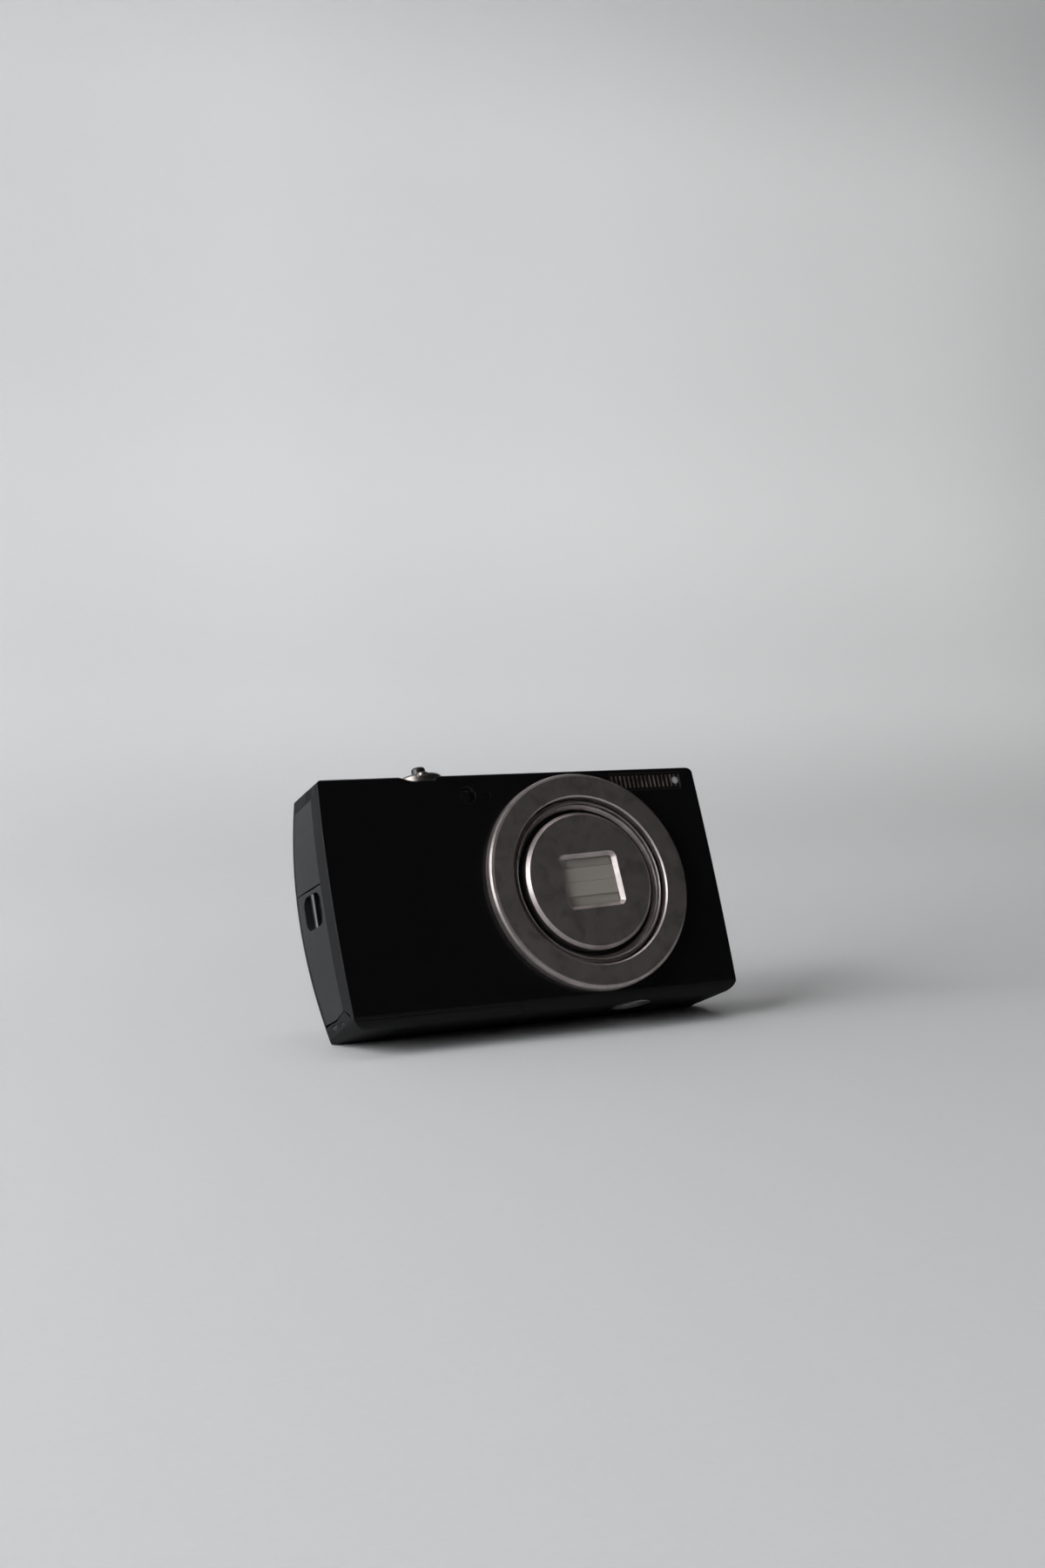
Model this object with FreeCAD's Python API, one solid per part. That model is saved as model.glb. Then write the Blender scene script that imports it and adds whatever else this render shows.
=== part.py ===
"""Slim compact camera with a retracting zoom lens, one solid or group of solids per file.

Millimetres. X runs to the right as seen from the front, the front faces -Y and +Z is up.
The origin is at the middle of the underside of the whole camera. Depths are counted from
the flat front face backwards, so a depth d lies at y = FRONT_Y + d.
"""
import FreeCAD
import Part
import math
import os

V = FreeCAD.Vector

# Body
BODY_W = 95.0
BODY_H = 51.9
BODY_D = 19.0
WALL = 1.2
RING_PROUD = 2.45
KEY_PROUD = 0.35
LEFT_FRONT_X = BODY_W / 2 - 1.2
LEFT_FRONT_BOW = 0.8
LEFT_REAR_BOW = 2.9
RIGHT_FRONT_X = BODY_W / 2 - 0.6
RIGHT_FRONT_BOW = 0.4
RIGHT_REAR_BOW = 1.1
FRONT_EDGE_R = 0.5
REAR_CORNER_R = 4.5
FRONT_BOTTOM_R = 2.5
FRONT_TOP_R = 0.6
REAR_BOTTOM_R = 2.8
REAR_TOP_R = 2.6
CORNER_TOP_LEFT_R = 1.6
CORNER_TOP_RIGHT_R = 2.2
CORNER_BOTTOM_RIGHT_R = 3.5
CORNER_BOTTOM_LEFT_R = 3.2
SPLIT_D = 9.0
SEAM = 0.1
PLANE_MARGIN = 0.02

# Lens, from the front ring to the sensor
LENS_X = BODY_W / 2 - 34.25
LENS_Z = BODY_H / 2 + 0.65
RING_R = BODY_H / 2 - 1.9
RING_EDGE_R = 0.8
RING_FACE_D = -RING_PROUD
BARREL_GAP = 0.2
OUTER_R = RING_R - 5.65
OUTER_WALL = 1.1
OUTER_END_D = BODY_D - 5.8
OUTER_BEAD = 1.1
RIM_INNER_R = OUTER_R - 2.05
RIM_DROP = 0.8
RIM_D = -0.9
RIM_EDGE = 0.35
INNER_R = OUTER_R - 3.1
INNER_WALL = 1.2
INNER_END_D = BODY_D - 6.6
INNER_TRAVEL = 8.0
GUIDE_KEY_L = 1.6
PLATE_D = -2.0
PLATE_T = 1.0
PLATE_EDGE = 0.7
WINDOW_HALF_W = INNER_R - 8.05
WINDOW_HALF_H = INNER_R - 9.2
WINDOW_OFF_X = 0.4
WINDOW_OFF_Z = -0.1
WINDOW_R = 1.5
WINDOW_BEVEL = 0.85
WINDOW_TURN = 2.3
WINDOW_LAND = 0.2
DRIVE_WALL = 0.9
HOUSING_WALL = 1.3
BASE_D = BODY_D - 5.4
BASE_T = 1.2
GEAR_T = 1.8
GEAR_MODULE = 0.6
GEAR_SPAN = 60.0
SECTOR_TEETH = 70
SECTOR_KEPT_TEETH = 12
IDLER_TEETH = 14
MOTOR_TEETH = 8
IDLER_ANGLE = -40.0
MOTOR_ANGLE = -8.0
MOTOR_R = 3.9
MOTOR_D = 2.0

# Barrier blades
BLADE_T = 0.2
BLADE_STEP = 0.3
BLADE_PIVOT_R = INNER_R - 3.3
BLADE_PIN_R = 0.5
BLADE_LUG_R = 1.2
BLADE_REACH = 7.1
BLADE_OUTER_TOP = 6.5
BLADE_INNER_TOP = 3.1
BLADE_OUTER_ANGLE = 8.0

# Glass and its guides
FRONT_GLASS_R = 6.4
REAR_GLASS_R = 4.0
ROD_X = 10.0
ROD_R = 0.5
LOBE_T = 1.0

# Screen and boards at the rear
LCD_X0 = LENS_X - 27.85
LCD_X1 = BODY_W / 2 - 4.9
LCD_Z0 = 4.0
LCD_Z1 = BODY_H - 3.5
LCD_R = 1.5
LCD_WINDOW_T = 0.85
LCD_PANEL_T = 2.0
LCD_FRAME_T = 0.3
SENSOR_T = 0.8
BOARD_T = 0.8

# Keys on the rear
KEY_GAP = 0.15
KEY_TRAVEL = 0.3
KEY_FLANGE = 0.5
KEY_R = 2.6
MOVIE_X = (LCD_X0 - BODY_W / 2) / 2 + 8.55
MOVIE_Z = BODY_H - 9.9
PAD_X = (LCD_X0 - BODY_W / 2) / 2 + 1.25
PAD_Z = BODY_H / 2 - 1.45
PAD_R = 8.4
SET_R = 3.6
PLAY_X = PAD_X - 6.8
MENU_X = PAD_X + 6.8
LOW_KEY_Z = 9.2
STATUS_X = LCD_X0 - 2.8
STATUS_Z = BODY_H - 5.5
STATUS_R = 0.8

# Top controls
DECK_X0 = -BODY_W / 2 + 7.5
DECK_X1 = LENS_X + 1.75
DECK_D0 = 2.2
DECK_D1 = 14.4
SHUTTER_X = (LENS_X - BODY_W / 2) / 2 - 2.575
SHUTTER_D = 4.9
SHUTTER_R = 1.5
SHUTTER_RISE = 3.3
SHUTTER_TRAVEL = 0.8
LEVER_R = 4.8
LEVER_RISE = 0.9
LEVER_DEPTH = 1.1
LEVER_GAP = 0.2
SCOOP_X = SHUTTER_X - 2.3
SCOOP_HALF = 5.0
SCOOP_DROP = 1.2
SCOOP_REACH_D = 2.2
FLOOR_T = 0.9
POWER_X = LENS_X - 21.25
POWER_D = 9.6
POWER_R = 2.4
SWITCH_X = DECK_X0 + 5.0
SWITCH_D = 9.6
SWITCH_L = 4.0
SWITCH_W = 1.8
SWITCH_TRAVEL = 2.5
SPEAKER_X = DECK_X1 - 9.5
SPEAKER_D = (DECK_D0 + DECK_D1) / 2 + 2.7
SPEAKER_R = 3.2

# Front windows
FLASH_X0 = LENS_X + 10.75
FLASH_X1 = BODY_W / 2 - 4.9
FLASH_Z0 = BODY_H - 5.0
FLASH_Z1 = BODY_H - 1.1
FLASH_T = 1.1
AF_X = LENS_X - 24.8
AF_Z = BODY_H - 4.7
AF_R = 1.8
MIC_X = LENS_X - 19.75
MIC_R = 1.6

# Grip end: side cover, terminal cover and strap bar
PANEL_D_MID = 3.3
PANEL_D_END = 4.5
PANEL_D1 = 14.4
PANEL_TOP = BODY_H - 2.9
INNER_WALL_T = 0.45
TERMINAL_Z = BODY_H - 20.9
TERMINAL_PIVOT_X = -BODY_W / 2 + 1.5
TERMINAL_PIVOT_Z = TERMINAL_Z + 0.6
TERMINAL_PIN_D0 = 2.5
TERMINAL_PIN_D1 = 15.2
TERMINAL_PIN_R = 0.3
STRAP_D0 = 4.3
STRAP_D1 = 11.8
STRAP_Z0 = TERMINAL_Z - 8.3
STRAP_Z1 = TERMINAL_Z - 1.2
STRAP_R = 2.0
STRAP_DEPTH = 2.2
STRAP_BAR_R = 0.75
NOTCH_D = 5.5
NOTCH_R = 6.0
NOTCH_FLOOR_X = -BODY_W / 2 + 2.8
USB_W = 7.6
USB_H = 3.8
USB_L = 9.0

# Battery, card and their door
BATTERY_H = BODY_H - 11.7
BATTERY_D = 5.2
BATTERY_X0 = -BODY_W / 2 + 3.9
BATTERY_D0 = 5.4
BATTERY_Z0 = 3.2
HOLDER_WALL = 0.5
HOLDER_GAP = 0.2
CARD_W = 24.0
CARD_H = 32.0
CARD_T = 2.1
CARD_D0 = 12.1
DOOR_SEAM_Z = 1.5
DOOR_SIDE_Z = 3.4
DOOR_APEX_Z = 4.4
DOOR_APEX_D = 3.9
DOOR_APEX_END_D = 8.7
DOOR_PLATE_T = 1.2
DOOR_GAP = 0.12
DOOR_CAP_T = 1.7
DOOR_PIVOT_X = -BODY_W / 2 + 2.9
DOOR_PIVOT_Z = 2.5
DOOR_PIN_R = 0.4
DOOR_LUG_R = 0.65
SLIDER_T = 0.6

# Base and metal frame
SOCKET_X = LENS_X + 8.75
SOCKET_D = 6.0
SOCKET_R = 2.6
SOCKET_BOSS_R = 4.3
SOCKET_L = 5.0
CHASSIS_T = 0.6
CHASSIS_END_X = BODY_W / 2 - 2.9
CHASSIS_TOP = BODY_H - 5.9
SCREW_HEAD_R = 1.3
SCREW_HEAD_T = 0.5
SCREW_R = 0.6
SCREW_L = 2.6
SCREW_D = 12.6
CAP_X = BODY_W / 2 - 7.9
CAP_D = 8.0
CAP_R = 4.2
CAP_Z0 = 15.6
CAP_Z1 = BODY_H - 9.9
TUBE_D = 3.4
TUBE_R = 0.9
POWER_TRAVEL = 0.4

# Values that follow from the sizes above
GEAR_D = BASE_D - 0.4 - GEAR_T
LOBE_D = GEAR_D - 0.2 - LOBE_T
DEPTH = BODY_D + RING_PROUD + KEY_PROUD
FRONT_Y = RING_PROUD - DEPTH / 2
MID_Z = BODY_H / 2
FAR_X = BODY_W / 2 + 12.5
WINDOW_X = LENS_X + WINDOW_OFF_X
WINDOW_Z = LENS_Z + WINDOW_OFF_Z
LEFT_REAR_X = BODY_W / 2
RIGHT_REAR_X = BODY_W / 2
CHASSIS_Z1 = WALL + 0.1 + CHASSIS_T
HOLE_R = OUTER_R + BARREL_GAP
DRIVE_R = HOLE_R + DRIVE_WALL
HOUSING_IN_R = DRIVE_R + 0.3
HOUSING_R = HOUSING_IN_R + HOUSING_WALL
SENSOR_D = BASE_D + BASE_T
LCD_WINDOW_D = BODY_D - LCD_WINDOW_T
LCD_PANEL_D = LCD_WINDOW_D - 0.05 - LCD_PANEL_T
LCD_FRAME_D = LCD_PANEL_D - 0.05 - LCD_FRAME_T
REAR_WALL_D = BODY_D - WALL
KEY_FLANGE_D = REAR_WALL_D - 0.1 - KEY_FLANGE
KEY_BOARD_D = KEY_FLANGE_D - KEY_TRAVEL - 0.1 - BOARD_T
MAIN_BOARD_D = KEY_BOARD_D - 0.4 - BOARD_T
BLADE_D = PLATE_D + PLATE_T + 0.1
POCKET_Z = BODY_H - LEVER_DEPTH
TOP_IN_Z = BODY_H - WALL
BATTERY_X1 = LENS_X - HOUSING_R - 1.15
CARD_X0 = BATTERY_X0 + 3.6
DOOR_END_X = BATTERY_X1 + 2.0
CHASSIS_X0 = DOOR_END_X + 1.5
BATTERY_D1 = BATTERY_D0 + BATTERY_D
BATTERY_Z1 = BATTERY_Z0 + BATTERY_H
HOLDER_TOP = BATTERY_Z1 + HOLDER_GAP + HOLDER_WALL
PITCH_R = GEAR_MODULE * SECTOR_TEETH / 2
IDLER_R = GEAR_MODULE * IDLER_TEETH / 2
PINION_R = GEAR_MODULE * MOTOR_TEETH / 2
IDLER_X = LENS_X + (PITCH_R + IDLER_R) * math.cos(math.radians(IDLER_ANGLE))
IDLER_Z = LENS_Z + (PITCH_R + IDLER_R) * math.sin(math.radians(IDLER_ANGLE))
MOTOR_X = IDLER_X + (IDLER_R + PINION_R) * math.cos(math.radians(MOTOR_ANGLE))
MOTOR_Z = IDLER_Z + (IDLER_R + PINION_R) * math.sin(math.radians(MOTOR_ANGLE))


# Helpers: d is a depth behind the front face, lists of points are closed outlines
def at(x, d, z):
    return V(x, FRONT_Y + d, z)


def block(x0, x1, d0, d1, z0, z1):
    return Part.makeBox(x1 - x0, d1 - d0, z1 - z0, at(x0, d0, z0))


def rod_y(x, z, r, d0, d1):
    return Part.makeCylinder(r, d1 - d0, at(x, d0, z), V(0, 1, 0))


def rod_z(x, d, r, z0, z1):
    return Part.makeCylinder(r, z1 - z0, at(x, d, z0), V(0, 0, 1))


def rod_x(d, z, r, x0, x1):
    return Part.makeCylinder(r, x1 - x0, at(x0, d, z), V(1, 0, 0))


def lens_rod(r, d0, d1):
    return rod_y(LENS_X, LENS_Z, r, d0, d1)


def lens_tube(r_out, r_in, d0, d1):
    return lens_rod(r_out, d0, d1).cut(lens_rod(r_in, d0 - 1, d1 + 1))


def face_of(points):
    return Part.Face(Part.makePolygon(points + [points[0]]))


def turned(x, z, profile):
    """Solid turned about the Y line through x, z from (radius, depth) points."""
    face = face_of([at(x + r, d, z) for r, d in profile])
    return face.revolve(at(x, 0, z), V(0, 1, 0), 360)


def spun(x, d, profile):
    """Solid turned about the vertical line through x, d from (radius, z) points."""
    face = face_of([at(x + r, d, z) for r, z in profile])
    return face.revolve(at(x, d, 0), V(0, 0, 1), 360)


def rounded_wire(corners, place):
    """Closed wire through (u, v, radius) corners, each rounded by an arc."""
    edges = []
    count = len(corners)
    ends = []
    for i in range(count):
        u, v, r = corners[i]
        pu, pv, _ = corners[i - 1]
        nu, nv, _ = corners[(i + 1) % count]
        a = V(pu - u, pv - v, 0).normalize()
        b = V(nu - u, nv - v, 0).normalize()
        half = a.getAngle(b) / 2
        cut = r / math.tan(half)
        c = V(u, v, 0)
        mid = c + (a + b).normalize() * (r / math.sin(half) - r)
        ends.append((c + a * cut, mid, c + b * cut, r))
    for i in range(count):
        start, mid, stop, r = ends[i]
        if r > 0:
            edges.append(Part.Arc(place(start.x, start.y), place(mid.x, mid.y),
                                  place(stop.x, stop.y)).toShape())
        after = ends[(i + 1) % count][0]
        if stop.distanceToPoint(after) > 1e-6:
            edges.append(Part.makeLine(place(stop.x, stop.y), place(after.x, after.y)))
    return Part.Wire(edges)


def rounded_block(x0, x1, d0, d1, z0, z1, r):
    """Block whose outline seen from the front has rounded corners."""
    wire = rounded_wire([(x0, z0, r), (x1, z0, r), (x1, z1, r), (x0, z1, r)],
                        lambda u, v: at(u, d0, v))
    return Part.Face(wire).extrude(V(0, d1 - d0, 0))


def arc_edge(x, z, r, a0, a1, d):
    """Arc about x, z in the plane at depth d, angles in degrees from +X towards +Z."""
    points = []
    for a in (a0, (a0 + a1) / 2, a1):
        t = math.radians(a)
        points.append(at(x + r * math.cos(t), d, z + r * math.sin(t)))
    return Part.Arc(*points).toShape()


def pie(x, z, r, a0, a1, d0, d1):
    """Sector of a disc about x, z between two angles, with the given depths."""
    arc = arc_edge(x, z, r, a0, a1, d0)
    centre = at(x, d0, z)
    ends = [arc.Vertexes[0].Point, arc.Vertexes[-1].Point]
    wire = Part.Wire([Part.makeLine(centre, ends[0]), arc, Part.makeLine(ends[1], centre)])
    return Part.Face(wire).extrude(V(0, d1 - d0, 0))


# Body form
def plan_section(z, inset):
    """Outline seen from above at height z; the ends bow outwards towards the rear."""
    t = (z - MID_Z) / MID_Z
    left_front = -(LEFT_FRONT_X - LEFT_FRONT_BOW * t * t) + inset
    left_rear = -(LEFT_REAR_X - LEFT_REAR_BOW * t * t) + inset
    right_front = RIGHT_FRONT_X - RIGHT_FRONT_BOW * t * t - inset
    right_rear = RIGHT_REAR_X - RIGHT_REAR_BOW * t * t - inset
    front = inset - PLANE_MARGIN
    rear = BODY_D - inset + PLANE_MARGIN
    r = FRONT_EDGE_R
    big = max(REAR_CORNER_R - inset, 0.5)
    k = math.sqrt(0.5)

    def arc(cx, cd, radius, sx, sd):
        first = at(cx, cd + sd * radius, z)
        mid = at(cx + sx * radius * k, cd + sd * radius * k, z)
        last = at(cx + sx * radius, cd, z)
        return Part.Arc(first, mid, last).toShape()

    def end_curve(x_front, x_rear):
        curve = Part.BezierCurve()
        middle = (front + rear) / 2
        curve.setPoles([at(x_front, front + r, z), at(x_rear, middle, z),
                        at(x_rear, rear - big, z)])
        return curve.toShape()

    edges = [Part.makeLine(at(left_front + r, front, z), at(right_front - r, front, z)),
             arc(right_front - r, front + r, r, 1, -1),
             end_curve(right_front, right_rear),
             arc(right_rear - big, rear - big, big, 1, 1),
             Part.makeLine(at(right_rear - big, rear, z), at(left_rear + big, rear, z)),
             arc(left_rear + big, rear - big, big, -1, 1),
             end_curve(left_front, left_rear),
             arc(left_front + r, front + r, r, -1, -1)]
    return Part.Wire(Part.__sortEdges__(edges))


def corner_cutters(inset):
    """Pieces that round the four corners seen from the front."""
    corners = [(-1, 1, CORNER_TOP_LEFT_R, LEFT_FRONT_X, LEFT_FRONT_BOW),
               (1, 1, CORNER_TOP_RIGHT_R, RIGHT_FRONT_X, RIGHT_FRONT_BOW),
               (1, -1, CORNER_BOTTOM_RIGHT_R, RIGHT_FRONT_X, RIGHT_FRONT_BOW),
               (-1, -1, CORNER_BOTTOM_LEFT_R, LEFT_FRONT_X, LEFT_FRONT_BOW)]
    cutters = []
    for sx, sz, radius, front_x, bow in corners:
        r = max(radius - inset, 0.3)
        t = 1 - r / MID_Z
        x = sx * (front_x - bow * t * t - inset)
        z = MID_Z + sz * (MID_Z - inset)
        cx = x - sx * r
        cz = z - sz * r
        far_x = sx * BODY_W
        far_z = cz + sz * BODY_H
        corner = block(min(cx, far_x), max(cx, far_x), -1, BODY_D + 1, min(cz, far_z), max(cz, far_z))
        cutters.append(corner.cut(rod_y(cx, cz, r, -2, BODY_D + 2)))
    return cutters


def side_outline(inset):
    """Outline seen from the side, extruded through the whole width."""
    d0, d1 = inset, BODY_D - inset
    z0, z1 = inset, BODY_H - inset

    def less(r):
        return max(r - inset, 0.3)

    corners = [(d0, z0, less(FRONT_BOTTOM_R)), (d1, z0, less(REAR_BOTTOM_R)),
               (d1, z1, less(REAR_TOP_R)), (d0, z1, less(FRONT_TOP_R))]
    wire = rounded_wire(corners, lambda u, v: at(-BODY_W, u, v))
    return Part.Face(wire).extrude(V(2 * BODY_W, 0, 0))


ROOMS = {}


def room(inset):
    """Body form shrunk by the same inset on every side."""
    if inset not in ROOMS:
        rows = 5
        heights = [-1 + i * (BODY_H + 2) / (rows - 1) for i in range(rows)]
        form = Part.makeLoft([plan_section(z, inset) for z in heights], True, inset >= WALL)
        ROOMS[inset] = form.common(side_outline(inset)).cut(corner_cutters(inset))
    return ROOMS[inset].copy()


def skin(depth_in, depth_out=0.0):
    """Layer of the body between two insets."""
    return room(depth_out).cut(room(depth_in))


# Seams of the covers
def door_profile(gap):
    """Side view of the door's end: a raised tip near the front, then a level run."""
    g = gap
    return [at(-FAR_X, -2, -2), at(-FAR_X, -2, DOOR_SEAM_Z + g), at(-FAR_X, 0, DOOR_SEAM_Z + g),
            at(-FAR_X, DOOR_APEX_D - 0.4, DOOR_APEX_Z + g), at(-FAR_X, DOOR_APEX_D + 0.4, DOOR_APEX_Z + g),
            at(-FAR_X, DOOR_APEX_END_D, DOOR_SIDE_Z + g), at(-FAR_X, PANEL_D1 - 0.4, DOOR_SIDE_Z + g),
            at(-FAR_X, BODY_D - 1, DOOR_SEAM_Z + g), at(-FAR_X, BODY_D + 2, DOOR_SEAM_Z + g),
            at(-FAR_X, BODY_D + 2, -2)]


def door_region(gap):
    """Space of the door: a strip along the underside and the raised end."""
    right = DOOR_END_X + gap
    strip = rounded_wire([(-FAR_X, -2, 0.0), (right, -2, 0.0), (right, DOOR_SEAM_Z + gap, DOOR_SEAM_Z),
                          (-FAR_X, DOOR_SEAM_Z + gap, 0.0)], lambda u, v: at(u, -3, v))
    low = Part.Face(strip).extrude(V(0, BODY_D + 6, 0))
    end_x = DOOR_PIVOT_X + DOOR_CAP_T - 0.6 + gap
    end = face_of(door_profile(gap)).extrude(V(FAR_X + end_x, 0, 0))
    return low.fuse(end)


def door_swing():
    """Space that the door's upper edge sweeps about its pin."""
    out = LEFT_FRONT_X - 0.65 + DOOR_PIVOT_X
    ring = []
    for z, d in ((DOOR_SEAM_Z + 1, 1.0), (DOOR_APEX_Z, DOOR_APEX_D - 0.4), (DOOR_APEX_Z, DOOR_APEX_D + 0.4),
                 (DOOR_SIDE_Z, DOOR_APEX_END_D), (DOOR_SIDE_Z, PANEL_D1 + 0.6)):
        ring.append((math.hypot(out, z - DOOR_PIVOT_Z) + DOOR_GAP, d))
    profile = [(0, ring[0][1])] + ring + [(0, ring[-1][1])]
    return turned(DOOR_PIVOT_X, DOOR_PIVOT_Z, profile)


def panel_region(gap):
    """Space of the grey cover on the grip end, with a bowed front edge."""
    front = [at(-FAR_X, PANEL_D_END + gap, -2), at(-FAR_X, PANEL_D_MID + gap, MID_Z),
             at(-FAR_X, PANEL_D_END + gap, BODY_H + 2)]
    bow = Part.Arc(*front).toShape()
    back = PANEL_D1 - gap
    top = PANEL_TOP - gap
    wire = Part.Wire([bow, Part.makeLine(front[2], at(-FAR_X, back, BODY_H + 2)),
                      Part.makeLine(at(-FAR_X, back, BODY_H + 2), at(-FAR_X, back, -2)),
                      Part.makeLine(at(-FAR_X, back, -2), front[0])])
    face = Part.Face(wire).extrude(V(FAR_X + DOOR_PIVOT_X + 2.2, 0, 0))
    return face.common(block(-FAR_X, -30, -5, BODY_D + 5, DOOR_SIDE_Z - 3, top))


def terminal_swing(clearance):
    """Space that the lower edge of the terminal cover sweeps about its pin."""
    edge = TERMINAL_PIVOT_Z - TERMINAL_Z
    profile = []
    for d, x in ((PANEL_D_MID - 0.5, LEFT_REAR_X - 0.75), (7.5, LEFT_REAR_X - 0.3),
                 (PANEL_D1 + 0.5, LEFT_REAR_X - 0.05)):
        profile.append((math.hypot(x + TERMINAL_PIVOT_X, edge) + clearance, d))
    ends = [(0, profile[-1][1]), (0, profile[0][1])]
    return turned(TERMINAL_PIVOT_X, TERMINAL_PIVOT_Z, profile + ends)


def strap_pocket(grow):
    """Recess in the grip end that the strap is threaded through."""
    wire = rounded_wire([(STRAP_D0 - grow, STRAP_Z0 - grow, STRAP_R + grow),
                         (STRAP_D1 + grow, STRAP_Z0 - grow, STRAP_R + grow),
                         (STRAP_D1 + grow, STRAP_Z1 + grow, STRAP_R + grow),
                         (STRAP_D0 - grow, STRAP_Z1 + grow, STRAP_R + grow)], lambda u, v: at(-FAR_X, u, v))
    floor = -(LEFT_REAR_X - STRAP_DEPTH) + grow
    return Part.Face(wire).extrude(V(FAR_X + floor, 0, 0))


def nail_notch():
    return rod_z(NOTCH_FLOOR_X - NOTCH_R, NOTCH_D, NOTCH_R, PANEL_TOP, BODY_H + 2)


def deck_region(gap):
    """Inlaid strip of the top with the controls in it."""
    wire = rounded_wire([(DECK_X0 + gap, DECK_D0 + gap, 2.0), (DECK_X1 - gap, DECK_D0 + gap, 2.0),
                         (DECK_X1 - gap, DECK_D1 - gap, 2.0), (DECK_X0 + gap, DECK_D1 - gap, 2.0)],
                        lambda u, v: at(u, v, MID_Z))
    return Part.Face(wire).extrude(V(0, 0, BODY_H))


def scoop():
    """Finger scoop in the top front edge, before the zoom lever."""
    r = (SCOOP_HALF ** 2 + SCOOP_DROP ** 2) / (2 * SCOOP_DROP)
    return rod_y(SCOOP_X, BODY_H - SCOOP_DROP + r, r, -2, SCOOP_REACH_D)


def lever_pocket():
    return rod_z(SHUTTER_X, SHUTTER_D, LEVER_R + LEVER_GAP, POCKET_Z, BODY_H + 2)


def lcd_opening(gap):
    return rounded_block(LCD_X0 - gap, LCD_X1 + gap, BODY_D - 3, BODY_D + 3, LCD_Z0 - gap, LCD_Z1 + gap,
                         LCD_R + gap)


def flash_opening(gap):
    return rounded_block(FLASH_X0 - gap, FLASH_X1 + gap, -2, FLASH_T + 0.6, FLASH_Z0 - gap,
                         FLASH_Z1 + gap, 0.5)


def screw_places():
    """Screws on the underside and on the plain end: point, then direction inwards."""
    places = [(at(x, SCREW_D, 0), V(0, 0, 1)) for x in (LENS_X - 14.75, LENS_X + 17.75, LENS_X + 27.25)]
    inner_x = CHASSIS_END_X - CHASSIS_T
    for z in (10.0, CHASSIS_TOP - 4.0):
        places.append((at(inner_x + SCREW_L - 0.4, SCREW_D, z), V(-1, 0, 0)))
    return places


def screw_holes():
    """Counterbores and clearance holes for the case screws."""
    cuts = []
    for p, axis in screw_places():
        cuts.append(Part.makeCylinder(SCREW_HEAD_R + 0.15, SCREW_HEAD_T + 3, p - axis * 3, axis))
        cuts.append(Part.makeCylinder(SCREW_R + 0.1, SCREW_L, p, axis))
    return cuts


# Covers
def front_cover():
    """Front shell: face, front half of the ends, top and bottom."""
    shell = skin(WALL).common(block(-FAR_X, FAR_X, -5, SPLIT_D - SEAM / 2, -5, BODY_H + 5))
    shell = shell.cut([door_region(DOOR_GAP), panel_region(0.0), deck_region(0.0), scoop(), lever_pocket(),
                       nail_notch(), door_swing(), flash_opening(0.05), terminal_pin(0.05),
                       lens_rod(HOUSING_R + 0.1, -2, 3), rod_y(AF_X, AF_Z, AF_R + 0.05, -2, 3),
                       rod_y(MIC_X, AF_Z, 0.35, -2, 3),
                       rod_z(SOCKET_X, SOCKET_D, SOCKET_BOSS_R + 0.1, -2, 3)])
    return shell


def rear_cover():
    """Rear shell with the screen opening and the key holes."""
    shell = skin(WALL).common(block(-FAR_X, FAR_X, SPLIT_D + SEAM / 2, BODY_D + 5, -5, BODY_H + 5))
    cuts = [door_region(DOOR_GAP), panel_region(0.0), deck_region(0.0), nail_notch(), door_swing(),
            lcd_opening(0.1), rod_z(SOCKET_X, SOCKET_D, SOCKET_BOSS_R + 0.1, -2, 3)]
    for x, z, r in key_places():
        cuts.append(rod_y(x, z, r + KEY_GAP, BODY_D - 3, BODY_D + 3))
    cuts.append(rod_y(PAD_X, PAD_Z, PAD_R + 0.25, BODY_D - 3, BODY_D + 3))
    cuts.append(rod_y(STATUS_X, STATUS_Z, STATUS_R + 0.02, BODY_D - 3, BODY_D + 3))
    boss = rod_y(TERMINAL_PIVOT_X, TERMINAL_PIVOT_Z, TERMINAL_PIN_R + 0.5, PANEL_D1, TERMINAL_PIN_D1 + 0.4)
    shell = shell.cut(cuts + screw_holes()).fuse(boss.common(room(0.5)))
    return shell.cut(terminal_pin(0.05)).removeSplitter()


def top_cover():
    """Inlaid top strip: pocket for the lever, holes for the buttons, speaker slots."""
    deck = skin(WALL).common(deck_region(SEAM))
    boss = rod_z(SHUTTER_X, SHUTTER_D, LEVER_R + LEVER_GAP + 0.9, POCKET_Z - FLOOR_T, TOP_IN_Z)
    boss = boss.common(block(-FAR_X, FAR_X, WALL + 0.1, BODY_D, 0, BODY_H))
    deck = deck.fuse(boss)
    cuts = [lever_pocket(), scoop(),
            rod_z(SHUTTER_X, SHUTTER_D, SHUTTER_R + KEY_GAP, POCKET_Z - 2, BODY_H),
            rod_z(POWER_X, POWER_D, POWER_R + KEY_GAP, TOP_IN_Z - 1, BODY_H + 1),
            switch_slot()]
    for i in range(4):
        x = SPEAKER_X - 2.1 + 1.4 * i
        cuts.append(block(x - 0.25, x + 0.25, SPEAKER_D - 2, SPEAKER_D + 2, TOP_IN_Z - 1, BODY_H + 1))
    return deck.cut(cuts).removeSplitter()


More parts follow.
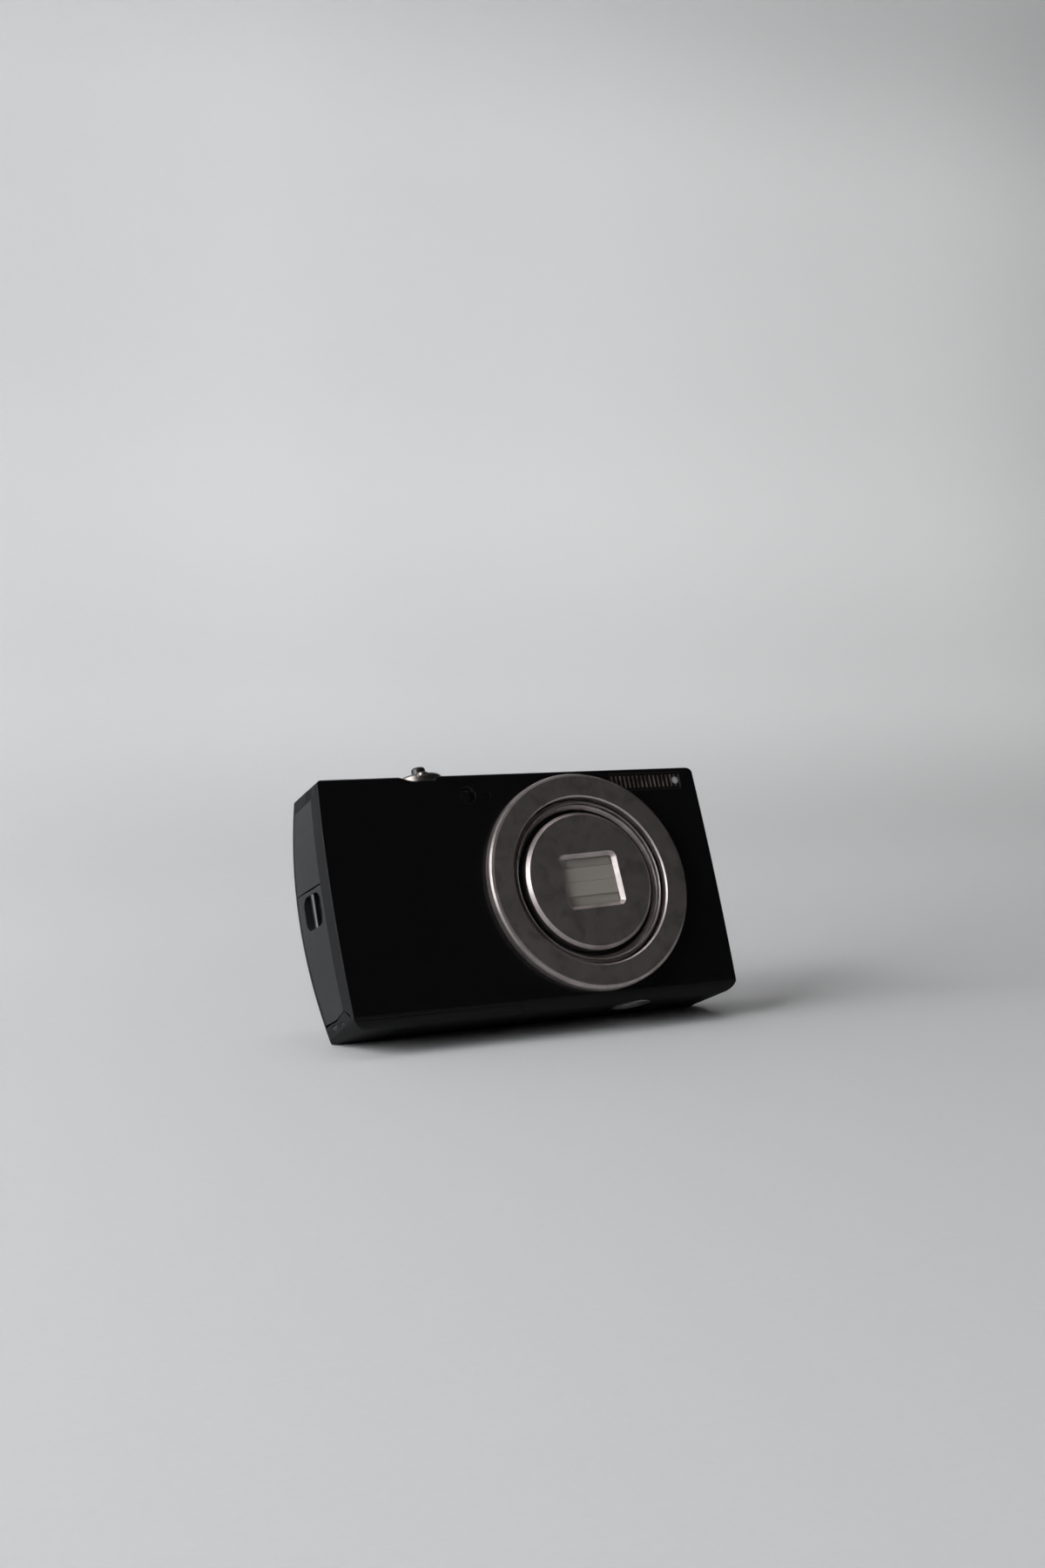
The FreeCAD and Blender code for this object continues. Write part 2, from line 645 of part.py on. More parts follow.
def side_cover():
    """Grey cover on the grip end: strap recess, and an inner wall behind the terminal cover."""
    region = panel_region(SEAM)
    wall = skin(WALL).common(region)
    above = block(-FAR_X, 0, -5, BODY_D + 5, TERMINAL_Z - SEAM, BODY_H + 5)
    inner = skin(WALL + 0.05 + INNER_WALL_T, WALL + 0.05).common(panel_region(0.3))
    inner = inner.common(block(-FAR_X, 0, -5, BODY_D + 5, STRAP_Z1, PANEL_TOP - 0.3))
    cup = skin(STRAP_DEPTH + 1.0).common(strap_pocket(0.5))
    usb = block(-FAR_X, BATTERY_X0 + 5, *usb_span(0.25))
    wall = wall.cut([above, terminal_swing(0.12)])
    joined = wall.fuse([cup, inner.cut(terminal_swing(0.12))])
    pocket = strap_pocket(0.0)
    return joined.cut([pocket, door_region(DOOR_GAP), door_swing(), usb])


def strap_bar():
    """Steel bar across the recess that the strap's loop goes round."""
    middle_d = (STRAP_D0 + STRAP_D1) / 2
    x = -(LEFT_REAR_X - STRAP_BAR_R - 0.4)
    bar = rod_z(x, middle_d, STRAP_BAR_R, STRAP_Z0, STRAP_Z1)
    return bar


def terminal_pin(grow):
    """Moulded pin of the terminal cover; its ends turn in the front and rear shells."""
    return rod_y(TERMINAL_PIVOT_X, TERMINAL_PIVOT_Z, TERMINAL_PIN_R + grow, TERMINAL_PIN_D0 - grow,
                 TERMINAL_PIN_D1 + grow)


def terminal_cover():
    """Flap over the socket; its lower edge is rounded about the hinge pin."""
    region = panel_region(SEAM)
    flap = skin(WALL - 0.1).common(region)
    flap = flap.common(block(-FAR_X, 0, -5, BODY_D + 5, TERMINAL_Z, BODY_H))
    low = flap.common(block(-FAR_X, 0, -5, BODY_D + 5, TERMINAL_Z - 1, TERMINAL_PIVOT_Z))
    high = flap.common(block(-FAR_X, 0, -5, BODY_D + 5, TERMINAL_PIVOT_Z, BODY_H))
    knuckle = rod_y(TERMINAL_PIVOT_X, TERMINAL_PIVOT_Z, TERMINAL_PIN_R + 0.3, PANEL_D_MID + 0.5,
                    PANEL_D1 - 0.4)
    low = low.common(terminal_swing(0.0))
    return high.fuse([low, knuckle, terminal_pin(0.0)]).cut(nail_notch()).removeSplitter()


def usb_span(gap):
    """Depths and heights of the data socket, grown by a gap."""
    d0 = BATTERY_D0 - 1.6
    z0 = HOLDER_TOP + 0.1
    return d0 - gap, d0 + USB_W + gap, z0 - gap, z0 + USB_H + gap


def usb_socket():
    """Data socket behind the terminal cover: folded steel shell with a contact tongue."""
    d0, d1, z0, z1 = usb_span(0.0)
    x0 = BATTERY_X0 + 0.2
    shell = block(x0, x0 + USB_L, d0, d1, z0, z1)
    shell = shell.cut(block(x0 - 1, x0 + USB_L - 0.5, d0 + 0.4, d1 - 0.4, z0 + 0.4, z1 - 0.4))
    tongue = block(x0 + 1.0, x0 + USB_L - 0.4, d0 + 1.6, d1 - 1.6, z0 + 1.6, z1 - 1.4)
    return shell.fuse(tongue)


# Battery, card and door
def battery():
    body = rounded_block(BATTERY_X0, BATTERY_X1, BATTERY_D0, BATTERY_D1, BATTERY_Z0, BATTERY_Z1, 1.2)
    cuts = []
    for i in range(3):
        x = BATTERY_X1 - 5.0 - 4.5 * i
        cuts.append(block(x - 1.2, x + 1.2, BATTERY_D0 + 1.4, BATTERY_D1 - 1.4, BATTERY_Z1 - 0.4, BATTERY_Z1 + 1))
    return body.cut(cuts)


def battery_contacts():
    """Three spring contacts in the top of the holder."""
    made = []
    for i in range(3):
        x = BATTERY_X1 - 5.0 - 4.5 * i
        d = (BATTERY_D0 + BATTERY_D1) / 2
        made.append(block(x - 0.6, x + 0.6, d - 0.8, d + 0.8, BATTERY_Z1 + 0.05, HOLDER_TOP + 0.3))
    return Part.makeCompound(made)


def battery_holder():
    """Open-ended tray round the battery."""
    g = HOLDER_GAP
    w = g + HOLDER_WALL
    tray = block(BATTERY_X0 - w, BATTERY_X1 + w, BATTERY_D0 - w, BATTERY_D1 + w, BATTERY_Z0 + 0.4, HOLDER_TOP)
    tray = tray.common(room(WALL + INNER_WALL_T + 0.1))
    hollow = block(BATTERY_X0 - g, BATTERY_X1 + g, BATTERY_D0 - g, BATTERY_D1 + g, 0, BATTERY_Z1 + g)
    cuts = [hollow, door_swing(), strap_pocket(0.55), terminal_swing(0.2)]
    for i in range(3):
        x = BATTERY_X1 - 5.0 - 4.5 * i
        d = (BATTERY_D0 + BATTERY_D1) / 2
        cuts.append(block(x - 0.6, x + 0.6, d - 0.8, d + 0.8, BATTERY_Z1 - 1, HOLDER_TOP + 1))
    return tray.cut(cuts)


def battery_latch():
    """Small catch that keeps the battery in when the door is open."""
    x = BATTERY_X0 + 18.5
    d = BATTERY_D0 - HOLDER_GAP - HOLDER_WALL - 0.2
    stem = block(x - 1.5, x + 1.5, d - 0.8, d, BATTERY_Z0 - 0.8, BATTERY_Z0 + 5)
    lip = block(x - 2.0, x + 2.0, d - 0.8, BATTERY_D0 + 1.0, BATTERY_Z0 - 0.8, BATTERY_Z0 - 0.1)
    return stem.fuse(lip).removeSplitter()


def memory_card():
    """Card with one clipped corner."""
    x0, x1 = CARD_X0, CARD_X0 + CARD_W
    z0, z1 = BATTERY_Z0 + 0.3, BATTERY_Z0 + 0.3 + CARD_H
    face = face_of([at(x0, CARD_D0, z0), at(x1, CARD_D0, z0), at(x1, CARD_D0, z1),
                    at(x0 + 4, CARD_D0, z1), at(x0, CARD_D0, z1 - 4)])
    return face.extrude(V(0, CARD_T, 0))


def card_socket():
    """Sheet shell on the main board that the card slides into."""
    g = 0.15
    z1 = BATTERY_Z0 + 0.3 + CARD_H
    shell = block(CARD_X0 - 1.0, CARD_X0 + CARD_W + 1.0, CARD_D0 - g - 0.3, MAIN_BOARD_D, 7.0, z1 + 1.2)
    inside = block(CARD_X0 - g, CARD_X0 + CARD_W + g, CARD_D0 - g, CARD_D0 + CARD_T + g, 0, z1 + g)
    window = block(CARD_X0 + 4, CARD_X0 + CARD_W - 4, CARD_D0 - 2, CARD_D0, 12, 24)
    return shell.cut([inside, window])


def battery_door():
    """Sliding door of the battery and card: bottom plate, raised end cap and two knuckles."""
    plate = skin(DOOR_PLATE_T).common(door_region(0.0))
    cap = skin(DOOR_CAP_T).common(door_region(0.0)).common(
        block(-FAR_X, DOOR_PIVOT_X + DOOR_CAP_T - 0.6, -5, BODY_D + 5, -5, 20))
    knuckles = []
    for d in (3.4, 11.8):
        knuckles.append(rod_y(DOOR_PIVOT_X, DOOR_PIVOT_Z, DOOR_LUG_R, d, d + 1.9))
    pad_x = BATTERY_X0 + 22
    pad = block(pad_x, pad_x + 9, BATTERY_D0 + 1.4, BATTERY_D1 - 0.4, DOOR_PLATE_T - 0.1, BATTERY_Z0 - 0.2)
    hooks = []
    for x in (BATTERY_X1 - 5.0, BATTERY_X1 - 23.0):
        hooks.append(block(x, x + 3, 15.4, 16.2, DOOR_PLATE_T - 0.1, DOOR_PLATE_T + 1.1))
    door = plate.fuse([cap, pad] + knuckles + hooks)
    cuts = [rod_y(DOOR_PIVOT_X, DOOR_PIVOT_Z, DOOR_PIN_R + 0.05, 2.5, 14.5)]
    for d in (5.4, 9.7):
        cuts.append(rod_y(DOOR_PIVOT_X, DOOR_PIVOT_Z, DOOR_LUG_R + 0.15, d - 0.1, d + 2.0))
        cuts.append(block(DOOR_PIVOT_X - 0.1, DOOR_PIVOT_X + 2.6, d - 0.1, d + 2.0, DOOR_PLATE_T + 0.02, 9))
    for i in range(5):
        x = BATTERY_X0 + 9.6 + 1.2 * i
        cuts.append(block(x - 0.25, x + 0.25, 5.0, 12.5, -1, 0.2))
    return door.cut(cuts).removeSplitter()


def door_slider():
    """Steel plate that slides along the underside, with lugs and the hinge pin of the door."""
    z0 = DOOR_PLATE_T + 0.15
    plate = block(DOOR_PIVOT_X + 1.5, DOOR_PIVOT_X + 10.0, 5.4, 11.6, z0, z0 + SLIDER_T)
    made = [plate]
    made.append(rod_y(DOOR_PIVOT_X, DOOR_PIVOT_Z, DOOR_PIN_R, 3.5, 13.6))
    cuts = [rod_z(DOOR_PIVOT_X + 6.5, 8.5, 1.2, 0, 4)]
    for d in (5.4, 9.7):
        lug = rod_y(DOOR_PIVOT_X, DOOR_PIVOT_Z, DOOR_LUG_R, d, d + 1.9)
        arm = block(DOOR_PIVOT_X, DOOR_PIVOT_X + 2.0, d, d + 1.9, z0, z0 + SLIDER_T)
        made += [lug, arm]
    return made[0].fuse(made[1:]).cut(cuts).removeSplitter()


# Lens
def arc_points(cx, cd, r, a0, a1, steps):
    """Points of a quarter round in a (radius, depth) outline."""
    points = []
    for i in range(steps + 1):
        a = math.radians(a0 + (a1 - a0) * i / steps)
        points.append((cx + r * math.cos(a), cd + r * math.sin(a)))
    return points


def lens_ring():
    """Fixed ring round the barrels, with a soft outer edge and a chamfered bore."""
    edge = arc_points(RING_R - RING_EDGE_R, RING_FACE_D + RING_EDGE_R, RING_EDGE_R, -90, 0, 2)
    return turned(LENS_X, LENS_Z, [(HOLE_R, RING_FACE_D + 0.3), (HOLE_R + 0.3, RING_FACE_D)] + edge
                  + [(RING_R, 0), (HOLE_R, 0)])


def outer_barrel():
    """First moving barrel: beaded rim, cone falling to the inner edge, open rear."""
    rim_end = RIM_D + RIM_DROP
    profile = [(OUTER_R, RIM_D + RIM_EDGE), (OUTER_R - RIM_EDGE, RIM_D), (OUTER_R - OUTER_BEAD, RIM_D),
               (RIM_INNER_R, rim_end), (RIM_INNER_R, rim_end + 0.4),
               (OUTER_R - OUTER_WALL, rim_end + 1.0), (OUTER_R - OUTER_WALL, OUTER_END_D),
               (OUTER_R, OUTER_END_D)]
    return turned(LENS_X, LENS_Z, profile)


def cam_barrel():
    """Guide barrel inside the outer one, with three cut guide slots."""
    r_in = INNER_R + BARREL_GAP
    tube = lens_tube(OUTER_R - OUTER_WALL, r_in, RIM_D + RIM_DROP + 1.2, OUTER_END_D - 0.4)
    start = INNER_END_D - 0.4 - GUIDE_KEY_L - INNER_TRAVEL - 0.3
    cuts = []
    for i in range(3):
        slot = block(LENS_X - 0.8, LENS_X + 0.8, start, OUTER_END_D + 1, LENS_Z + r_in - 1, LENS_Z + OUTER_R)
        slot.rotate(at(LENS_X, 0, LENS_Z), V(0, 1, 0), 30 + 120 * i)
        cuts.append(slot)
    return tube.cut(cuts)


def inner_barrel():
    """Second moving barrel with three guide keys at its rear end."""
    tube = lens_tube(INNER_R, INNER_R - INNER_WALL, PLATE_D + PLATE_T, INNER_END_D)
    keys = []
    for i in range(3):
        key = block(LENS_X - 0.6, LENS_X + 0.6, INNER_END_D - 0.4 - GUIDE_KEY_L, INNER_END_D - 0.4,
                    LENS_Z + INNER_R - 0.5, LENS_Z + INNER_R + 1.2)
        key.rotate(at(LENS_X, 0, LENS_Z), V(0, 1, 0), 30 + 120 * i)
        keys.append(key)
    return tube.fuse(keys)


def window_wire(inset, d):
    """Outline of the window, smaller by an inset, at depth d."""
    w = WINDOW_HALF_W - inset
    h = WINDOW_HALF_H - inset
    r = WINDOW_R - inset
    corners = [(WINDOW_X + sx * w, WINDOW_Z + sz * h, r) for sx, sz in ((-1, -1), (1, -1), (1, 1), (-1, 1))]
    return rounded_wire(corners, lambda u, v: at(u, d, v))


def front_plate():
    """Front disc of the inner barrel: bevelled window and two pins for the blades."""
    disc = turned(LENS_X, LENS_Z, [(0, PLATE_D), (INNER_R - PLATE_EDGE, PLATE_D),
                                   (INNER_R, PLATE_D + PLATE_EDGE), (INNER_R, PLATE_D + PLATE_T),
                                   (0, PLATE_D + PLATE_T)])
    bevel = Part.makeLoft([window_wire(-0.02, PLATE_D - 0.02),
                           window_wire(WINDOW_BEVEL, PLATE_D + PLATE_T - WINDOW_LAND)], True, True)
    hole = Part.Face(window_wire(WINDOW_BEVEL, PLATE_D)).extrude(V(0, PLATE_T + 1, 0))
    pins = []
    for side in (-1, 1):
        pins.append(turned_about_lens(rod_y(LENS_X + side * BLADE_PIVOT_R, LENS_Z, BLADE_PIN_R,
                                            PLATE_D + PLATE_T - 0.1, BLADE_D + BLADE_STEP + BLADE_T + 0.2)))
    return disc.cut([turned_about_lens(bevel), turned_about_lens(hole)]).fuse(pins)


def turned_about_lens(shape, extra=0.0):
    """Turn a shape with the window, seen from the front counter-clockwise."""
    shape.rotate(at(LENS_X, 0, LENS_Z), V(0, 1, 0), -WINDOW_TURN - extra)
    return shape


def blade(layer, top, angle, lower):
    """One barrier blade: a thin leaf with a round lug on its pin, its lower edge radial."""
    d = BLADE_D + layer * BLADE_STEP
    px = LENS_X - BLADE_PIVOT_R
    x1 = LENS_X + BLADE_REACH
    reach = x1 - px
    slope = math.tan(math.radians(angle))
    g = 0.03
    outline = face_of([at(px, d, LENS_Z + g), at(x1, d, LENS_Z + g + reach * slope), at(x1, d, LENS_Z + top),
                       at(LENS_X - BLADE_REACH, d, LENS_Z + top), at(px, d, LENS_Z + BLADE_LUG_R)])
    leaf = outline.extrude(V(0, BLADE_T, 0)).fuse(rod_y(px, LENS_Z, BLADE_LUG_R, d, d + BLADE_T))
    leaf = leaf.cut(rod_y(px, LENS_Z, BLADE_PIN_R + 0.06, d - 1, d + 1)).removeSplitter()
    return turned_about_lens(leaf, 180 if lower else 0)


def front_lens_cell():
    """Black cone behind the blades that holds the front glass."""
    d = BLADE_D + BLADE_STEP + BLADE_T + 0.5
    r = INNER_R - INNER_WALL
    return turned(LENS_X, LENS_Z, [(FRONT_GLASS_R, d + 1.6), (r - 4.0, d + 0.6), (r, d), (r, d + 1.2),
                                   (FRONT_GLASS_R + 1.2, d + 2.4), (FRONT_GLASS_R + 1.2, d + 4.6),
                                   (FRONT_GLASS_R, d + 4.6)])


def glass(r, d0, d1, dome):
    """Glass with a domed face at the front and a flat back, turned about the lens axis."""
    profile = []
    for i in range(4):
        x = r * i / 3
        profile.append((x, d0 + dome - math.sqrt(dome * dome - x * x)))
    return turned(LENS_X, LENS_Z, profile + [(r, d1), (0, d1)])


def front_lens():
    """Front glass, seated in its cell."""
    d = BLADE_D + BLADE_STEP + BLADE_T + 1.3
    return glass(FRONT_GLASS_R, d, d + 3.6, 13.0)


def rear_lens_cell():
    """Carriage of the focusing glass with two ears on the guide rods."""
    tube = lens_tube(REAR_GLASS_R + 1.0, REAR_GLASS_R, 8.0, 11.0)
    ears = []
    for side in (-1, 1):
        x = LENS_X + side * ROD_X
        ear = rod_y(x, LENS_Z, 1.2, 8.6, 10.6)
        arm = block(min(x, LENS_X + side * (REAR_GLASS_R + 0.6)), max(x, LENS_X + side * (REAR_GLASS_R + 0.6)),
                    8.6, 10.6, LENS_Z - 0.7, LENS_Z + 0.7)
        ears.append(ear.fuse(arm).cut(rod_y(x, LENS_Z, ROD_R + 0.06, 5, 13)))
    return tube.fuse(ears)


def rear_lens():
    return glass(REAR_GLASS_R, 8.2, 10.8, 9.0)


def guide_rods():
    """Two rods on the lens base that the focusing carriage runs on."""
    return [rod_y(LENS_X + side * ROD_X, LENS_Z, ROD_R, 4.2, BASE_D + 0.1) for side in (-1, 1)]


def tooth_profile(x, z, d, teeth, first, kept):
    """Gear outline points: each tooth is a taper, thinned a little for running clearance."""
    m = GEAR_MODULE
    pitch = m * teeth / 2
    thick = 0.42 * math.pi * m
    slope = math.tan(math.radians(20))
    tip_r, root_r = pitch + 0.8 * m, pitch - 1.1 * m
    tip = (thick / 2 - 0.8 * m * slope) / tip_r
    root = (thick / 2 + 1.1 * m * slope) / root_r
    points = []
    for k in range(kept):
        a = math.radians(first + 360.0 * k / teeth)
        for r, off in ((root_r, -root), (tip_r, -tip), (tip_r, tip), (root_r, root)):
            points.append(at(x + r * math.cos(a + off), d, z + r * math.sin(a + off)))
    return points


def mate_phase(offset, teeth, mesh_angle, mate_teeth):
    """Angle of a tooth of the mate, from how far the first gear's tooth is off the mesh line."""
    return mesh_angle + 180 - offset * teeth / mate_teeth + 180.0 / mate_teeth


def drive_ring():
    """Ring that turns the barrels, with a sector of teeth at its rear."""
    ring = lens_tube(DRIVE_R, HOLE_R, 1.2, BASE_D - 0.2)
    step = 360.0 / SECTOR_TEETH
    first = IDLER_ANGLE + step / 2 - 2 * step
    points = tooth_profile(LENS_X, LENS_Z, GEAR_D, SECTOR_TEETH, first, SECTOR_KEPT_TEETH)
    band = []
    for k in (SECTOR_KEPT_TEETH - 1, SECTOR_KEPT_TEETH / 2, 0):
        a = math.radians(first + k * step)
        band.append(at(LENS_X + (HOLE_R + 0.4) * math.cos(a), GEAR_D, LENS_Z + (HOLE_R + 0.4) * math.sin(a)))
    teeth = face_of(points + band).extrude(V(0, GEAR_T, 0))
    return ring.fuse(teeth).cut(lens_rod(HOLE_R, 0, 15))


def idler_gear():
    """Idler between the motor and the ring, running on a pin."""
    step = 360.0 / SECTOR_TEETH
    first = mate_phase(step / 2, SECTOR_TEETH, IDLER_ANGLE, IDLER_TEETH)
    wheel = face_of(tooth_profile(IDLER_X, IDLER_Z, GEAR_D, IDLER_TEETH, first, IDLER_TEETH))
    return wheel.extrude(V(0, GEAR_T, 0)).cut(rod_y(IDLER_X, IDLER_Z, 0.76, GEAR_D - 1, GEAR_D + 3))


def motor_gear():
    """Pinion with its shaft, which runs back into the motor."""
    step = 360.0 / SECTOR_TEETH
    idler_step = 360.0 / IDLER_TEETH
    phase = mate_phase(step / 2, SECTOR_TEETH, IDLER_ANGLE, IDLER_TEETH)
    offset = (phase - MOTOR_ANGLE) % idler_step
    first = mate_phase(offset, IDLER_TEETH, MOTOR_ANGLE, MOTOR_TEETH)
    wheel = face_of(tooth_profile(MOTOR_X, MOTOR_Z, GEAR_D, MOTOR_TEETH, first, MOTOR_TEETH))
    shaft = rod_y(MOTOR_X, MOTOR_Z, 0.6, LOBE_D - 1.0, GEAR_D + GEAR_T)
    return wheel.extrude(V(0, GEAR_T, 0)).fuse(shaft)


def zoom_motor():
    """Can motor fastened to the front of the gear flange."""
    can = rod_y(MOTOR_X, MOTOR_Z, MOTOR_R, MOTOR_D, LOBE_D)
    flats = [block(MOTOR_X - 5, MOTOR_X + 5, MOTOR_D - 1, LOBE_D + 1, MOTOR_Z + s, MOTOR_Z + s + 2)
             for s in (MOTOR_R - 0.6, -MOTOR_R - 1.4)]
    return can.cut(flats + [rod_y(MOTOR_X, MOTOR_Z, 0.68, LOBE_D - 1.2, LOBE_D + 1)])


def lens_housing():
    """Fixed tube and base of the lens, with a flange for the idler and the motor."""
    tube = lens_tube(HOUSING_R, HOUSING_IN_R, 0, BASE_D + 0.1)
    base = lens_rod(HOUSING_R, BASE_D, BASE_D + BASE_T)
    lobes = []
    for d, t in ((LOBE_D, LOBE_T), (BASE_D, BASE_T)):
        lobes.append(rod_y(IDLER_X, IDLER_Z, IDLER_R + 1.0, d, d + t))
        lobes.append(rod_y(MOTOR_X, MOTOR_Z, PINION_R + 1.2, d, d + t))
        lobes.append(block(IDLER_X, MOTOR_X, d, d + t, MOTOR_Z - 3.4, MOTOR_Z + 3.4))
        lobes.append(pie(LENS_X, LENS_Z, PITCH_R + IDLER_R, IDLER_ANGLE - 9, IDLER_ANGLE + 9, d, d + t))
    body = base.fuse(lobes).cut(lens_rod(HOUSING_IN_R, -1, BASE_D)).fuse(tube)
    gear_space = pie(LENS_X, LENS_Z, PITCH_R + 1.0, IDLER_ANGLE - GEAR_SPAN, IDLER_ANGLE + GEAR_SPAN, LOBE_D + LOBE_T, BASE_D)
    cuts = [gear_space, rod_y(IDLER_X, IDLER_Z, IDLER_R + 0.9, LOBE_D + LOBE_T, BASE_D),
            rod_y(MOTOR_X, MOTOR_Z, 0.8, LOBE_D - 1, LOBE_D + LOBE_T + 1),
            window_slot(), guide_holes()]
    pin = rod_y(IDLER_X, IDLER_Z, 0.7, LOBE_D + LOBE_T - 0.1, BASE_D + 0.1)
    return body.cut(cuts).fuse([pin] + guide_rods())


def window_slot():
    """Opening of the base for the sensor."""
    return block(LENS_X - 4.2, LENS_X + 4.2, BASE_D - 1, BASE_D + BASE_T + 1, LENS_Z - 3.4, LENS_Z + 3.4)


def guide_holes():
    return Part.makeCompound([rod_y(LENS_X + s * 15, LENS_Z + 6, 0.8, BASE_D - 1, BASE_D + BASE_T + 1)
                              for s in (-1, 1)])


def image_sensor():
    """Sensor package on its small board, seated in the base of the lens."""
    board = block(LENS_X - 9, LENS_X + 9, SENSOR_D, SENSOR_D + SENSOR_T, LENS_Z - 8, LENS_Z + 8)
    return board.fuse(block(LENS_X - 4, LENS_X + 4, BASE_D + 0.2, SENSOR_D + 0.1, LENS_Z - 3.2, LENS_Z + 3.2))


# Screen, sensor side and boards
def lcd_window():
    return rounded_block(LCD_X0, LCD_X1, LCD_WINDOW_D, BODY_D, LCD_Z0, LCD_Z1, LCD_R)


def lcd_panel():
    """Screen module: glass with a thicker lower edge for its driver."""
    panel = block(LCD_X0 + 0.6, LCD_X1 - 0.6, LCD_PANEL_D + 0.6, LCD_WINDOW_D - 0.05, LCD_Z0 + 0.6, LCD_Z1 - 0.6)
    light = block(LCD_X0 + 1.4, LCD_X1 - 1.4, LCD_PANEL_D, LCD_PANEL_D + 0.6, LCD_Z0 + 1.4, LCD_Z1 - 1.4)
    return panel.fuse(light)


def lcd_frame():
    """Folded steel tray behind the screen, with three openings and two lugs."""
    tray = block(LCD_X0 + 0.2, LCD_X1 - 0.4, LCD_FRAME_D, LCD_PANEL_D, LCD_Z0 + 0.2, LCD_Z1 - 0.2)
    cuts = []
    for i in range(3):
        x = LCD_X0 + 8.0 + 15.5 * i
        cuts.append(rounded_block(x, x + 9, LCD_FRAME_D - 1, LCD_PANEL_D + 1,
                                  LCD_Z0 + 10, LCD_Z1 - 8.4, 2.0))
    return tray.cut(cuts)


def main_board():
    """Main circuit board behind the card socket, with its larger chips."""
    d = MAIN_BOARD_D
    x1 = LENS_X - HOUSING_R - 1.0
    z1 = BODY_H - 5.9
    board = rounded_block(CARD_X0 - 1.5, x1, d, d + BOARD_T, 6.0, z1, 1.0)
    chips = [block(x1 - 5.65, x1 - 0.65, d - 1.0, d, 8, 15), block(x1 - 5.15, x1 - 1.15, d - 0.9, d, 20, 26),
             block(x1 - 21.15, x1 - 11.15, d - 1.1, d, z1 - 7.5, z1 - 1.0)]
    return board.fuse(chips)


def key_board():
    """Board of the rear keys, on two posts, with the light pipe of the status lamp."""
    d = KEY_BOARD_D
    board = rounded_block(-LEFT_REAR_X + 5.5, LCD_X0 - 1.0, d, d + BOARD_T, 5.5, BODY_H - 4.5, 1.5)
    posts = []
    for x in (-LEFT_REAR_X + 6.5, LCD_X0 - 2.4):
        posts.append(rod_y(x, 7.0, 0.8, MAIN_BOARD_D + BOARD_T, d))
    lamp = rod_y(STATUS_X, STATUS_Z, STATUS_R, d + BOARD_T - 0.1, BODY_D)
    return board.fuse(posts + [lamp])


def key_places():
    return [(MOVIE_X, MOVIE_Z, KEY_R), (PLAY_X, LOW_KEY_Z, KEY_R), (MENU_X, LOW_KEY_Z, KEY_R)]


def key_profile(r, bottom, top, edge, flange):
    """Half outline of a round key: flange below, chamfered rim on top."""
    return [(0, bottom), (r + flange, bottom), (r + flange, bottom + KEY_FLANGE), (r, bottom + KEY_FLANGE),
            (r, top - edge), (r - edge, top), (0, top)]


def rear_key(x, z, r):
    """Round key of the rear, held behind the cover by a flange."""
    return turned(x, z, key_profile(r, KEY_FLANGE_D, BODY_D + KEY_PROUD, 0.2, 0.5))


def movie_key():
    return rear_key(*key_places()[0])


def playback_key():
    return rear_key(*key_places()[1])


def menu_key():
    return rear_key(*key_places()[2])


def control_pad():
    """Four-way ring that tilts about its middle, with a dished top."""
    top = BODY_D + KEY_PROUD
    base = KEY_FLANGE_D + 0.4
    return turned(PAD_X, PAD_Z, [(SET_R + KEY_GAP, base), (PAD_R - 0.2, base), (PAD_R, base + 0.3),
                                 (PAD_R, top - 0.3), (PAD_R - 0.4, top), (PAD_R - 1.6, top - 0.25),
                                 (SET_R + KEY_GAP + 0.6, top - 0.35), (SET_R + KEY_GAP, top - 0.5)])


def pad_gimbal():
    """Ring under the control pad that lets it tilt both ways."""
    r_in = SET_R + KEY_GAP + 0.3
    d0 = KEY_BOARD_D + BOARD_T + 0.25
    return turned(PAD_X, PAD_Z, [(r_in, d0), (r_in + 1.0, d0), (r_in + 1.0, d0 + 0.3), (r_in, d0 + 0.3)])


def set_key():
    """Round key in the middle of the control pad."""
    return turned(PAD_X, PAD_Z, key_profile(SET_R, KEY_FLANGE_D, BODY_D + KEY_PROUD - 0.3, 0.25, 0.0))


# Front windows, flash and sound
def flash_window():
    """Flash window, ribbed on its back."""
    pane = rounded_block(FLASH_X0, FLASH_X1, 0, FLASH_T, FLASH_Z0, FLASH_Z1, 0.5)
    cuts = []
    count = 8
    step = (FLASH_X1 - FLASH_X0 - 2.0) / count
    for i in range(count):
        x = FLASH_X0 + 1.0 + step * (i + 0.5)
        cuts.append(rod_z(x, FLASH_T + 0.3, 0.6, FLASH_Z0 + 0.5, FLASH_Z1 - 0.5))
    return pane.cut(cuts)


def flash_reflector():
    """Bright trough behind the flash window with closed ends."""
    x0, x1 = FLASH_X0 + 1.6, FLASH_X1 - 0.6
    z0, z1 = FLASH_Z0 - 0.6, TOP_IN_Z - 0.05
    trough = block(x0, x1, FLASH_T + 0.15, 6.4, z0, z1)
    mid = (z0 + z1) / 2
    hollow = rod_x(FLASH_T, mid, (z1 - z0) / 2 - 0.25, x0 + 0.5, x1 - 0.5)
    deep = block(x0 + 0.5, x1 - 0.5, FLASH_T - 1, 3.6, mid - 1.2, mid + 1.2)
    return trough.cut([hollow, deep, rod_x(TUBE_D, mid, TUBE_R, x0 - 1, x1 + 1)])


def flash_tube():
    """Glass discharge tube through the ends of the reflector."""
    mid = (FLASH_Z0 - 0.6 + TOP_IN_Z - 0.05) / 2
    return rod_x(TUBE_D, mid, TUBE_R, FLASH_X0 + 1.2, FLASH_X1 - 0.2)


